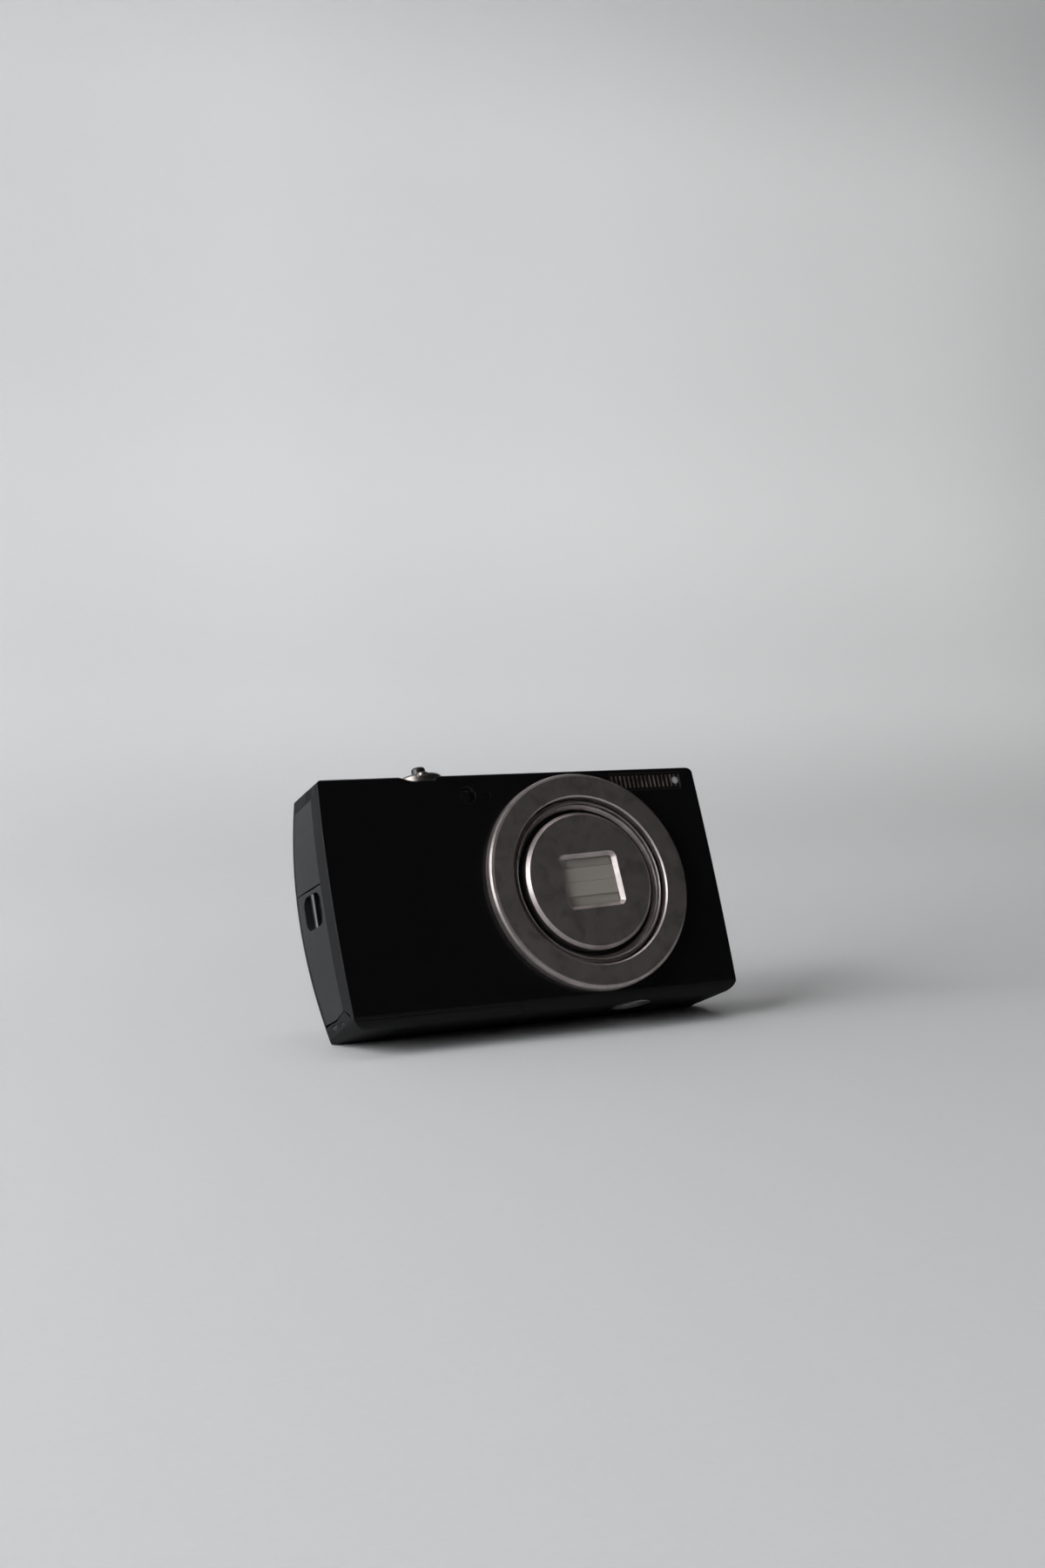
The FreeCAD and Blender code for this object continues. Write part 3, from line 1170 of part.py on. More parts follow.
def flash_capacitor():
    """Main capacitor, upright beside the lens, with a pressed groove and a rubber foot."""
    r = CAP_R
    return spun(CAP_X, CAP_D, [(0, CAP_Z0), (r - 0.4, CAP_Z0), (r, CAP_Z0 + 0.4), (r, CAP_Z0 + 1.6),
                               (r - 0.4, CAP_Z0 + 2.0), (r, CAP_Z0 + 2.4), (r, CAP_Z1 - 0.4),
                               (r - 0.4, CAP_Z1), (0, CAP_Z1)])


def capacitor_clip():
    """Clip on the metal frame that holds the capacitor."""
    z = CAP_Z0 + 10.4
    clip = rod_z(CAP_X, CAP_D, CAP_R + 0.5, z, z + 5).cut(rod_z(CAP_X, CAP_D, CAP_R, z - 1, z + 6))
    clip = clip.cut(block(CAP_X - CAP_R - 1, CAP_X, CAP_D - 2.6, CAP_D + 2.6, z - 1, z + 6))
    return clip.cut(block(CHASSIS_END_X - CHASSIS_T, FAR_X, 0, BODY_D, z - 1, z + 6))


def af_window():
    """Window of the focus lamp with a flange behind the front shell."""
    stem = rod_y(AF_X, AF_Z, AF_R, 0.05, WALL + 0.2)
    return stem.fuse(rod_y(AF_X, AF_Z, AF_R + 0.6, WALL + 0.02, WALL + 0.9))


def af_lamp():
    return rod_y(AF_X, AF_Z, 1.2, WALL + 0.95, WALL + 4.0).fuse(
        rod_y(AF_X, AF_Z, 1.5, WALL + 3.4, WALL + 4.0))


def speaker():
    return rod_z(SPEAKER_X, SPEAKER_D, SPEAKER_R, TOP_IN_Z - 2.4, TOP_IN_Z - 0.02)


# Top controls
def switch_slot():
    """Slot of the mode switch, long enough for its travel."""
    x0 = SWITCH_X - SWITCH_L / 2 - 0.15
    x1 = SWITCH_X + SWITCH_L / 2 + SWITCH_TRAVEL + 0.15
    return block(x0, x1, SWITCH_D - SWITCH_W / 2 - 0.15, SWITCH_D + SWITCH_W / 2 + 0.15, TOP_IN_Z - 1, BODY_H + 1)


def mode_switch():
    """Sliding switch with three ribs and a plate under the top."""
    x0, x1 = SWITCH_X - SWITCH_L / 2, SWITCH_X + SWITCH_L / 2
    d0, d1 = SWITCH_D - SWITCH_W / 2, SWITCH_D + SWITCH_W / 2
    knob = block(x0, x1, d0, d1, TOP_IN_Z - 0.3, BODY_H + 0.7)
    plate = block(x0 - 0.6, x1 + 0.6, d0 - 0.6, d1 + 0.6, TOP_IN_Z - 0.8, TOP_IN_Z - 0.1)
    cuts = [block(x0 + 0.7 + i, x0 + 1.1 + i, d0 - 1, d1 + 1, BODY_H + 0.4, BODY_H + 1) for i in range(3)]
    return knob.fuse(plate).cut(cuts)


def shutter_button():
    """Tall release button: domed cap through the lever, flange under the pocket floor."""
    top = BODY_H + SHUTTER_RISE
    under = POCKET_Z - FLOOR_T
    return spun(SHUTTER_X, SHUTTER_D, [(0, under - 0.9), (SHUTTER_R + 0.6, under - 0.9), (SHUTTER_R + 0.6, under - 0.1),
                                       (SHUTTER_R, under - 0.1), (SHUTTER_R, top - 0.45),
                                       (SHUTTER_R - 0.15, top - 0.15), (SHUTTER_R - 0.5, top), (0, top)])


def zoom_lever():
    """Ring round the release button: dished top, grip tab at the front, notched rim."""
    base = POCKET_Z + 0.2
    top = BODY_H + LEVER_RISE
    r = LEVER_R
    hub = SHUTTER_R + KEY_GAP
    ring = spun(SHUTTER_X, SHUTTER_D, [(hub, base), (r, base), (r, top - 0.4), (r - 0.35, top),
                                       (r - 0.9, top), (r - 1.6, top - 0.5), (hub, top - 0.6)])
    tab = rod_z(SHUTTER_X - 1.2, SHUTTER_D - r + 0.55, 1.1, BODY_H + 0.15, top - 0.1)
    cuts = []
    for i in range(7):
        notch = rod_z(SHUTTER_X, SHUTTER_D + r + 0.2, 0.45, BODY_H + 0.3, top + 1)
        notch.rotate(at(SHUTTER_X, SHUTTER_D, 0), V(0, 0, 1), -66 + 22 * i)
        cuts.append(notch)
    tab = tab.cut(rod_z(SHUTTER_X, SHUTTER_D, r - 0.5, 0, BODY_H + LEVER_DEPTH + 9))
    return ring.fuse(tab).cut(cuts)


def power_button():
    """Low round button set in the top strip."""
    return spun(POWER_X, POWER_D, key_profile(POWER_R, TOP_IN_Z - 0.1 - KEY_FLANGE, BODY_H + 0.1, 0.2, 0.6))


def top_board():
    """Board under the top controls, on two posts, with a switch under each button."""
    z = HOLDER_TOP + 0.6
    board = block(SHUTTER_X - 12.8, POWER_X + 4.5, 3.0, 13.4, z, z + 0.8)
    under = POCKET_Z - FLOOR_T - 0.9
    parts = [block(SHUTTER_X - 1.6, SHUTTER_X + 1.6, SHUTTER_D - 1.6, SHUTTER_D + 1.6, z + 0.8,
                   under - SHUTTER_TRAVEL - 0.1),
             block(POWER_X - 2.0, POWER_X + 2.0, POWER_D - 2.0, POWER_D + 2.0, z + 0.8,
                   TOP_IN_Z - 0.7 - POWER_TRAVEL - 0.1),
             block(SWITCH_X + 2.5, SWITCH_X + 6.5, SWITCH_D - 1.5, SWITCH_D + 1.5, z + 0.8, TOP_IN_Z - 0.9)]
    for x in (SHUTTER_X - 10.3, POWER_X - 4.0):
        parts.append(rod_z(x, BATTERY_D0 + 1.5, 1.0, HOLDER_TOP, z))
    return board.fuse(parts)


# Base and metal frame
def tripod_socket():
    """Threaded bush flush with the underside, flanged above the metal frame."""
    bush = rod_z(SOCKET_X, SOCKET_D, SOCKET_BOSS_R, 0, SOCKET_L)
    bush = bush.cut(rod_z(SOCKET_X, SOCKET_D, SOCKET_R, -1, SOCKET_L - 0.4))
    lead = Part.makeCone(SOCKET_R + 0.6, SOCKET_R, 0.6, at(SOCKET_X, SOCKET_D, 0), V(0, 0, 1))
    flange = rod_z(SOCKET_X, SOCKET_D, SOCKET_BOSS_R + 1.0, CHASSIS_Z1, CHASSIS_Z1 + 0.6)
    flange = flange.cut(rod_z(SOCKET_X, SOCKET_D, SOCKET_R, 0, 9)).common(room(WALL + 0.1))
    return bush.cut(lead).fuse(flange).removeSplitter()


def chassis():
    """Steel frame bent from one strip: floor plate, slanted corner and upright end."""
    z0, z1 = CHASSIS_Z1 - CHASSIS_T, CHASSIS_Z1
    x1 = CHASSIS_END_X
    x0 = x1 - CHASSIS_T
    d0, d1 = WALL + 1.4, SPLIT_D + 6.5
    outline = [(CHASSIS_X0, z0), (x1 - 1.5, z0), (x1, z0 + 1.5), (x1, CHASSIS_TOP), (x0, CHASSIS_TOP),
               (x0, z1 + 1.1), (x0 - 1.1, z1), (CHASSIS_X0, z1)]
    frame = face_of([at(x, d0, z) for x, z in outline]).extrude(V(0, d1 - d0, 0))
    cuts = [rod_z(SOCKET_X, SOCKET_D, SOCKET_BOSS_R + 0.02, 0, 9)]
    for x in (LENS_X - 9.25, LENS_X - 1.25, LENS_X + 19.75):
        cuts.append(rod_z(x, 7.0, 2.2, 0, 9))
    for z in (18.0, 36.0):
        cuts.append(rod_x(7.0, z, 2.6, x1 - 5, x1 + 5))
    for p, axis in screw_places():
        cuts.append(Part.makeCylinder(SCREW_R, 8, p - axis, axis))
    return frame.cut(cuts).fuse(capacitor_clip())


def case_screws():
    """Five like screws, heads sunk in the rear shell."""
    made = []
    for p, axis in screw_places():
        head = Part.makeCylinder(SCREW_HEAD_R, SCREW_HEAD_T, p, axis)
        shank = Part.makeCylinder(SCREW_R, SCREW_L - 0.1, p, axis)
        made.append(head.fuse(shank))
    return Part.makeCompound(made)


NODES = [front_cover, rear_cover, top_cover, side_cover, strap_bar, terminal_cover,
         usb_socket, battery_door, door_slider, battery, battery_contacts, battery_holder,
         battery_latch, memory_card, card_socket, lens_ring, lens_housing, drive_ring, idler_gear, motor_gear,
         zoom_motor, outer_barrel, cam_barrel, inner_barrel, front_plate, front_lens_cell, front_lens,
         rear_lens_cell, rear_lens, image_sensor, lcd_window, lcd_panel, lcd_frame, main_board,
         key_board, movie_key, playback_key, menu_key, control_pad, pad_gimbal, set_key,
         flash_window, flash_reflector, flash_tube, flash_capacitor, af_window, af_lamp, speaker,
         mode_switch, shutter_button, zoom_lever, power_button, top_board, tripod_socket, chassis,
         case_screws]


def blades():
    """The four barrier blades: an outer and an inner leaf above and below."""
    made = {}
    for side, lower in (("upper", False), ("lower", True)):
        made["blade_" + side + "_inner"] = blade(0, BLADE_INNER_TOP, 0.0, lower)
        made["blade_" + side + "_outer"] = blade(1, BLADE_OUTER_TOP, BLADE_OUTER_ANGLE, lower)
    return made


def main():
    os.makedirs("parts", exist_ok=True)
    shapes = {make.__name__: make() for make in NODES}
    shapes.update(blades())
    for name, shape in shapes.items():
        shape.exportStep("parts/" + name + ".step")
        print(name, len(shape.Solids), round(shape.Volume, 1))


main()
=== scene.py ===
# %% [markdown]
# The pieces of this camera were cut in CAD and come in as a fixed frame, one mesh for each real
# piece. Here they get their finishes, a few fine details that CAD leaves out, a floor, light and
# a camera. Blender works in metres, so sizes written in millimetres are multiplied by MM.

# %% Load the frame
import math
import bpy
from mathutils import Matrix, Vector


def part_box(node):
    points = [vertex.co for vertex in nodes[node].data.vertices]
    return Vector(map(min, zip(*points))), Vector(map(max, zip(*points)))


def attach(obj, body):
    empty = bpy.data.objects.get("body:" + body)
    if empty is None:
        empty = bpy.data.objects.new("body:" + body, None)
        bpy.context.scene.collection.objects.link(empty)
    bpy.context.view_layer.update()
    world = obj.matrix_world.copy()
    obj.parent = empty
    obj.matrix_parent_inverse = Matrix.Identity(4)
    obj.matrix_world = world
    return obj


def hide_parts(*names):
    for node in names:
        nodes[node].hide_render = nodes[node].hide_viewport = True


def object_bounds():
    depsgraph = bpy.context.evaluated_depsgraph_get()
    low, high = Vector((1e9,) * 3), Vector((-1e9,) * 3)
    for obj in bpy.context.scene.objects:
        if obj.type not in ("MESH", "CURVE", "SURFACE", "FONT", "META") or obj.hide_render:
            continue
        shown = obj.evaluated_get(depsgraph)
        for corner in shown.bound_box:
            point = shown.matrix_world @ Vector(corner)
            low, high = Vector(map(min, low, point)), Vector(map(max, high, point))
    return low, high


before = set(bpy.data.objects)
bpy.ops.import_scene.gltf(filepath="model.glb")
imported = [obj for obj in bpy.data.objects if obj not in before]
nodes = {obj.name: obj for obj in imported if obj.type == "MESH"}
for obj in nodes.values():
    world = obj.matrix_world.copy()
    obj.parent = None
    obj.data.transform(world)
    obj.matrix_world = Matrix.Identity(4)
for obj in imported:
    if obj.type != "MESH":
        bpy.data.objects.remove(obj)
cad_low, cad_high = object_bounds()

from types import SimpleNamespace

import bpy
from mathutils import Matrix, Vector

MM = 0.001
print("pieces", len(nodes), "box in mm", [round(v / MM, 2) for v in cad_high - cad_low])

# %% [markdown]
# A few places are used again and again: the lens axis, the front plane, the bottom and the back.
# They could be typed in, but they are read from the pieces themselves, so they follow the frame.

# %% Places on the body
ring_low, ring_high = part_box("lens_ring")
LENS_X = (ring_low.x + ring_high.x) / 2
LENS_Z = (ring_low.z + ring_high.z) / 2
FRONT_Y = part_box("front_cover")[0].y
BACK_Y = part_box("rear_cover")[1].y
BOTTOM_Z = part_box("rear_cover")[0].z
print("lens axis", round(LENS_X / MM, 2), round(LENS_Z / MM, 2), "front", round(FRONT_Y / MM, 2))

# %% [markdown]
# The photograph was taken from low on the left, close by, with the body leaning back. The view
# could be set by eye. Three angles, a distance and the point looked at were fitted to the
# photograph instead, because they say the same view in numbers that can be read.

# %% Camera
VIEW_TURN, VIEW_HEIGHT, VIEW_ROLL = (math.radians(a) for a in (-29.72, -15.19, -10.69))
VIEW_DISTANCE = 404.7 * MM
LOOKED_AT = Vector((2.15 * MM, FRONT_Y, 49.29 * MM))
LENS_LENGTH = 43.0
NEAREST_SEEN = 10 * MM


def camera_axes(turn, height, roll):
    """Right, up and back directions of a camera that looks at the body from that side."""
    level = math.cos(height)
    back = Vector((math.sin(turn) * level, -math.cos(turn) * level, math.sin(height)))
    right = Vector((math.cos(turn), math.sin(turn), 0))
    up = back.cross(right)
    rolled_right = math.cos(roll) * right + math.sin(roll) * up
    rolled_up = -math.sin(roll) * right + math.cos(roll) * up
    return rolled_right, rolled_up, back


view_right, view_up, view_back = camera_axes(VIEW_TURN, VIEW_HEIGHT, VIEW_ROLL)
camera = bpy.data.objects.new("camera", bpy.data.cameras.new("camera"))
bpy.context.scene.collection.objects.link(camera)
turned = Matrix((view_right, view_up, view_back)).transposed()
camera.matrix_world = Matrix.Translation(LOOKED_AT + view_back * VIEW_DISTANCE) @ turned.to_4x4()
camera.data.lens = LENS_LENGTH
camera.data.clip_start = NEAREST_SEEN
bpy.context.scene.camera = camera
bpy.context.scene.view_settings.view_transform = "Standard"
print("camera at", [round(v / MM, 1) for v in camera.location])

# %% [markdown]
# The body leans back on its lower rear edge, so seen from the body the floor is a slope. That edge
# is rounded, so the slope is lifted from the corner of the body's box until it touches a vertex of
# some piece. Without that, light would show under the body.

# %% Slope under the body
LEAN = math.radians(21.9)


def height_over_corner(point):
    """Height of a point over the slope through the corner of the body's box."""
    return (point.z - BOTTOM_Z) * math.cos(LEAN) - (point.y - BACK_Y) * math.sin(LEAN)


LIFT = min(height_over_corner(piece.matrix_world @ vertex.co)
           for piece in nodes.values() for vertex in piece.data.vertices)


def lean(along, up):
    """Place in the body's frame of a point on the leaning floor's own axes."""
    up = up + LIFT
    y = BACK_Y + along * math.cos(LEAN) - up * math.sin(LEAN)
    return y, BOTTOM_Z + along * math.sin(LEAN) + up * math.cos(LEAN)


print("floor lifted by mm", round(LIFT / MM, 2))

# %% [markdown]
# The floor is a sheet of pale paper that curves up into a wall behind. A plane and a wall would
# meet in a line, so the sheet is drawn as one curved line and swept sideways.

# %% Floor and backdrop
FLOOR_FRONT, FLOOR_BACK, SWEEP_R, WALL_HIGH, FLOOR_WIDE = 2.6, 0.16, 0.20, 2.4, 4.0
SWEEP_STEPS = 24


def paper_profile():
    """Points of the paper's line, along the floor, round the sweep and up the wall."""
    points = [(-FLOOR_FRONT, 0.0)]
    for i in range(SWEEP_STEPS + 1):
        a = math.radians(90 * i / SWEEP_STEPS)
        points.append((FLOOR_BACK + SWEEP_R * math.sin(a), SWEEP_R * (1 - math.cos(a))))
    points.append((FLOOR_BACK + SWEEP_R, WALL_HIGH))
    return points


corners, quads = [], []
for along, up in paper_profile():
    y, z = lean(along, up)
    corners += [(-FLOOR_WIDE, y, z), (FLOOR_WIDE, y, z)]
for i in range(0, len(corners) - 2, 2):
    quads.append((i, i + 1, i + 3, i + 2))
paper_mesh = bpy.data.meshes.new("paper")
paper_mesh.from_pydata(corners, [], quads)
paper_mesh.shade_smooth()
paper = bpy.data.objects.new("paper", paper_mesh)
bpy.context.scene.collection.objects.link(paper)
print("paper strips", len(quads))

# %% [markdown]
# A black gloss body shows mostly what it mirrors, so light is chosen by what it leaves dark. A
# large soft window on the left and a weaker one above draw the edges. One small hard lamp would
# give sharp spots instead.

# %% Lamps
MIDDLE = (cad_low + cad_high) / 2


def soft_lamp(name, place, size, watts, colour):
    """Square area lamp that faces the middle of the body, sizes in metres."""
    data = bpy.data.lights.new(name, "AREA")
    data.size = size
    data.energy = watts
    data.color = colour
    lamp = bpy.data.objects.new(name, data)
    bpy.context.scene.collection.objects.link(lamp)
    lamp.location = place
    lamp.rotation_euler = (MIDDLE - lamp.location).to_track_quat("-Z", "Y").to_euler()


soft_lamp("window_left", place=(-1.1, -0.25, 0.45), size=0.9, watts=19.0, colour=(0.96, 0.98, 1.0))
soft_lamp("ceiling", place=(0.1, 0.1, 1.4), size=1.2, watts=12.0, colour=(1.0, 0.99, 0.98))
print("lamps", len(bpy.data.lights))

# %% [markdown]
# The room is dark on the camera's side, which keeps the front black, and pale behind. Straight
# from the camera it is pale all round, so that the dark body stands out from every side. A picture
# of a room would do the same, but a plain fade has nothing in it that the body could mirror.

# %% Room
ROOM_DARK = (0.022, 0.022, 0.023, 1)
ROOM_PALE = (0.72, 0.72, 0.73, 1)
ROOM_SEEN = (0.55, 0.55, 0.555, 1)
PALE_FROM = 0.45


def add(tree, kind, **values):
    """New shader node with some of its settings and input values given."""
    node = tree.nodes.new(kind)
    for name, value in values.items():
        if hasattr(node, name):
            setattr(node, name, value)
        else:
            node.inputs[name.replace("_", " ")].default_value = value
    return node


def link(tree, source, target):
    """Join an output socket to an input socket."""
    tree.links.new(source, target)


world = bpy.data.worlds.new("room")
bpy.context.scene.world = world
world.use_nodes = True
tree = world.node_tree
sky = tree.nodes["Background"]
sky.inputs["Strength"].default_value = 1.0
direction = add(tree, "ShaderNodeTexCoord")
split = add(tree, "ShaderNodeSeparateXYZ")
fade = add(tree, "ShaderNodeValToRGB")
dark_end, pale_end = fade.color_ramp.elements
dark_end.position, dark_end.color = 0.0, ROOM_DARK
pale_end.position, pale_end.color = PALE_FROM, ROOM_PALE
sight = add(tree, "ShaderNodeLightPath")
seen = add(tree, "ShaderNodeMix", data_type="RGBA", B=ROOM_SEEN)
link(tree, direction.outputs["Generated"], split.inputs[0])
link(tree, split.outputs["Y"], fade.inputs["Fac"])
link(tree, sight.outputs["Is Camera Ray"], seen.inputs["Factor"])
link(tree, fade.outputs["Color"], seen.inputs["A"])
link(tree, seen.outputs["Result"], sky.inputs["Color"])
print("room fades to pale at", PALE_FROM)

# %% [markdown]
# Paper is matt and almost white, with a very faint fleck. A fine noise between two near greys is
# enough for it at this size.

# %% Paper colour
paper_finish = bpy.data.materials.new("paper_finish")
paper_finish.use_nodes = True
paper.data.materials.append(paper_finish)
tree = paper_finish.node_tree
shader = tree.nodes["Principled BSDF"]
shader.inputs["Roughness"].default_value = 0.9
shader.inputs["Specular IOR Level"].default_value = 0.2
place = add(tree, "ShaderNodeTexCoord")
fleck = add(tree, "ShaderNodeTexNoise", Scale=900.0, Detail=3.0)
tint = add(tree, "ShaderNodeMix", data_type="RGBA", A=(0.69, 0.69, 0.69, 1), B=(0.72, 0.72, 0.72, 1))
link(tree, place.outputs["Object"], fleck.inputs["Vector"])
link(tree, fleck.outputs["Fac"], tint.inputs["Factor"])
link(tree, tint.outputs["Result"], shader.inputs["Base Color"])
print("paper has", len(tree.nodes), "nodes")

# %% [markdown]
# Seen straight from the camera the wall glows a little, most in its middle, as in a room that is
# brighter behind the object. More lamps would light the body too. Only camera rays see this glow,
# so the body stays dark. One ramp says how it changes up the wall, the other across it.

# %% Glow of the wall
GLOW_TOP, GLOW_LEFT, GLOW_RIGHT = 0.5, -0.05, 0.55
GLOW_UP = ((0.0, 0.0), (0.18, 0.09), (0.36, 0.25), (0.55, 0.33), (0.8, 0.31), (1.0, 0.17))
GLOW_ACROSS = ((0.0, 0.6), (0.25, 0.88), (0.5, 1.0), (0.75, 0.97), (1.0, 0.72))


def grey_ramp(tree, stops):
    """Colour ramp of greys, its stops given as positions and values."""
    ramp = add(tree, "ShaderNodeValToRGB")
    elements = ramp.color_ramp.elements
    while len(elements) < len(stops):
        elements.new(0.5)
    for stop, (position, value) in zip(elements, stops):
        stop.position = position
        stop.color = (value, value, value, 1)
    ramp.color_ramp.interpolation = "EASE"
    return ramp


parts = add(tree, "ShaderNodeSeparateXYZ")
height = add(tree, "ShaderNodeMapRange", From_Min=0.0, From_Max=GLOW_TOP)
across = add(tree, "ShaderNodeMapRange", From_Min=GLOW_LEFT, From_Max=GLOW_RIGHT)
up_ramp = grey_ramp(tree, GLOW_UP)
across_ramp = grey_ramp(tree, GLOW_ACROSS)
both = add(tree, "ShaderNodeMath", operation="MULTIPLY")
sight = add(tree, "ShaderNodeLightPath")
seen = add(tree, "ShaderNodeMath", operation="MULTIPLY")
glow = add(tree, "ShaderNodeMix", data_type="RGBA", A=(0, 0, 0, 1), B=(1, 1, 1, 1))
link(tree, place.outputs["Object"], parts.inputs[0])
link(tree, parts.outputs["Z"], height.inputs["Value"])
link(tree, parts.outputs["X"], across.inputs["Value"])
link(tree, height.outputs["Result"], up_ramp.inputs["Fac"])
link(tree, across.outputs["Result"], across_ramp.inputs["Fac"])
link(tree, up_ramp.outputs["Color"], both.inputs[0])
link(tree, across_ramp.outputs["Color"], both.inputs[1])
link(tree, both.outputs[0], seen.inputs[0])
link(tree, sight.outputs["Is Camera Ray"], seen.inputs[1])
link(tree, seen.outputs[0], glow.inputs["Factor"])
link(tree, glow.outputs["Result"], shader.inputs["Emission Color"])
shader.inputs["Emission Strength"].default_value = 1.0
print("paper has", len(tree.nodes), "nodes")

# %% [markdown]
# Paper seen from its back is clear, so that any side of the body can be looked at, from below too,
# and the floor still takes the shadow.

# %% Clear back of the paper
side = add(tree, "ShaderNodeNewGeometry")
clear = add(tree, "ShaderNodeBsdfTransparent")
either = add(tree, "ShaderNodeMixShader")
link(tree, side.outputs["Backfacing"], either.inputs["Fac"])
link(tree, shader.outputs["BSDF"], either.inputs[1])
link(tree, clear.outputs["BSDF"], either.inputs[2])
link(tree, either.outputs["Shader"], tree.nodes["Material Output"].inputs["Surface"])
print("paper has", len(tree.nodes), "nodes")

# %% [markdown]
# Effects that several finishes share are node groups, made once. The first is moulded grain: fine
# noise that shifts the roughness a little and lifts the surface. An image could hold it, but noise
# on Object coordinates needs none, and stays put on a piece that moves.

# %% Shared effect, grain
def new_group(name, inputs, outputs):
    """Empty shader group with named float inputs and typed outputs."""
    group = bpy.data.node_groups.new(name, "ShaderNodeTree")
    for label, value in inputs:
        socket = group.interface.new_socket(label, in_out="INPUT", socket_type="NodeSocketFloat")
        socket.default_value = value
    for label, kind in outputs:
        group.interface.new_socket(label, in_out="OUTPUT", socket_type=kind)
    return group, group.nodes.new("NodeGroupInput"), group.nodes.new("NodeGroupOutput")


grain, inside, outside = new_group(
    "grain", [("Scale", 3000.0), ("Low", 0.3), ("High", 0.5)],
    [("Value", "NodeSocketFloat"), ("Height", "NodeSocketFloat")])
place = add(grain, "ShaderNodeTexCoord")
noise = add(grain, "ShaderNodeTexNoise", Detail=3.0)
reach = add(grain, "ShaderNodeMapRange")
link(grain, place.outputs["Object"], noise.inputs["Vector"])
link(grain, inside.outputs["Scale"], noise.inputs["Scale"])
link(grain, noise.outputs["Fac"], reach.inputs["Value"])
link(grain, inside.outputs["Low"], reach.inputs["To Min"])
link(grain, inside.outputs["High"], reach.inputs["To Max"])
link(grain, reach.outputs["Result"], outside.inputs["Value"])
link(grain, noise.outputs["Fac"], outside.inputs["Height"])
print("group", grain.name, len(grain.nodes), "nodes")

# %% [markdown]
# The second is handling: broad soft smears and a few tiny specks, as on any camera that is used.
# Smears are a noise cut off low down, and specks are the middles of small cells.

# %% Shared effect, handling
handling, inside, outside = new_group(
    "handling", [("Smear Scale", 60.0), ("Speck Scale", 900.0)],
    [("Smear", "NodeSocketFloat"), ("Speck", "NodeSocketFloat")])
place = add(handling, "ShaderNodeTexCoord")
broad = add(handling, "ShaderNodeTexNoise", Detail=4.0, Distortion=0.6)
soft = add(handling, "ShaderNodeMapRange", From_Min=0.45, From_Max=0.75)
cells = add(handling, "ShaderNodeTexVoronoi")
small = add(handling, "ShaderNodeMapRange", From_Min=0.09, From_Max=0.04)
link(handling, place.outputs["Object"], broad.inputs["Vector"])
link(handling, place.outputs["Object"], cells.inputs["Vector"])
link(handling, inside.outputs["Smear Scale"], broad.inputs["Scale"])
link(handling, inside.outputs["Speck Scale"], cells.inputs["Scale"])
link(handling, broad.outputs["Fac"], soft.inputs["Value"])
link(handling, cells.outputs["Distance"], small.inputs["Value"])
link(handling, soft.outputs["Result"], outside.inputs["Smear"])
link(handling, small.outputs["Result"], outside.inputs["Speck"])
print("group", handling.name, len(handling.nodes), "nodes")

# %% [markdown]
# The third is a soft edge. No real moulding has a sharp one. Rounding each edge in the mesh would
# mean changing the CAD pieces, so the Bevel node rounds only their shading, and how much it turns
# the surface tells where an edge is, which gives a mask for rubbed edges.

# %% Shared effect, edges
edges, inside, outside = new_group(
    "edges", [("Width", 0.2 * MM)], [("Mask", "NodeSocketFloat"), ("Normal", "NodeSocketVector")])
bevel = add(edges, "ShaderNodeBevel", samples=6)
flat = add(edges, "ShaderNodeNewGeometry")
dot = add(edges, "ShaderNodeVectorMath", operation="DOT_PRODUCT")
mask = add(edges, "ShaderNodeMapRange", From_Min=0.995, From_Max=0.9)
link(edges, inside.outputs["Width"], bevel.inputs["Radius"])
link(edges, bevel.outputs["Normal"], dot.inputs[0])
link(edges, flat.outputs["Normal"], dot.inputs[1])
link(edges, dot.outputs["Value"], mask.inputs["Value"])
link(edges, mask.outputs["Result"], outside.inputs["Mask"])
link(edges, bevel.outputs["Normal"], outside.inputs["Normal"])
print("group", edges.name, len(edges.nodes), "nodes")

# %% [markdown]
# The fourth is turned metal: rings cut on a lathe about the lens axis. Modelled rings would be too
# fine to see, so their height is a noise that depends only on the distance from that axis, and
# slow streaks round it vary the shade, partly as random tone and partly as a painted sheen.

# %% Shared effect, lathe rings
lathe, inside, outside = new_group(
    "lathe", [("Centre X", LENS_X), ("Centre Z", LENS_Z), ("Scale", 9000.0)],
    [("Height", "NodeSocketFloat"), ("Streak Sheen", "NodeSocketFloat")])
place = add(lathe, "ShaderNodeTexCoord")
parts = add(lathe, "ShaderNodeSeparateXYZ")
from_x = add(lathe, "ShaderNodeMath", operation="SUBTRACT")
from_z = add(lathe, "ShaderNodeMath", operation="SUBTRACT")
flat_place = add(lathe, "ShaderNodeCombineXYZ")
far = add(lathe, "ShaderNodeVectorMath", operation="LENGTH")
fine = add(lathe, "ShaderNodeTexNoise", noise_dimensions="1D", Detail=2.0)
direction = add(lathe, "ShaderNodeVectorMath", operation="NORMALIZE")
broad = add(lathe, "ShaderNodeTexNoise", Scale=2.5, Detail=2.0)
link(lathe, place.outputs["Object"], parts.inputs[0])
link(lathe, parts.outputs["X"], from_x.inputs[0])
link(lathe, inside.outputs["Centre X"], from_x.inputs[1])
link(lathe, parts.outputs["Z"], from_z.inputs[0])
link(lathe, inside.outputs["Centre Z"], from_z.inputs[1])
link(lathe, from_x.outputs[0], flat_place.inputs["X"])
link(lathe, from_z.outputs[0], flat_place.inputs["Z"])
link(lathe, flat_place.outputs[0], far.inputs[0])
link(lathe, far.outputs["Value"], fine.inputs["W"])
link(lathe, inside.outputs["Scale"], fine.inputs["Scale"])
link(lathe, flat_place.outputs[0], direction.inputs[0])
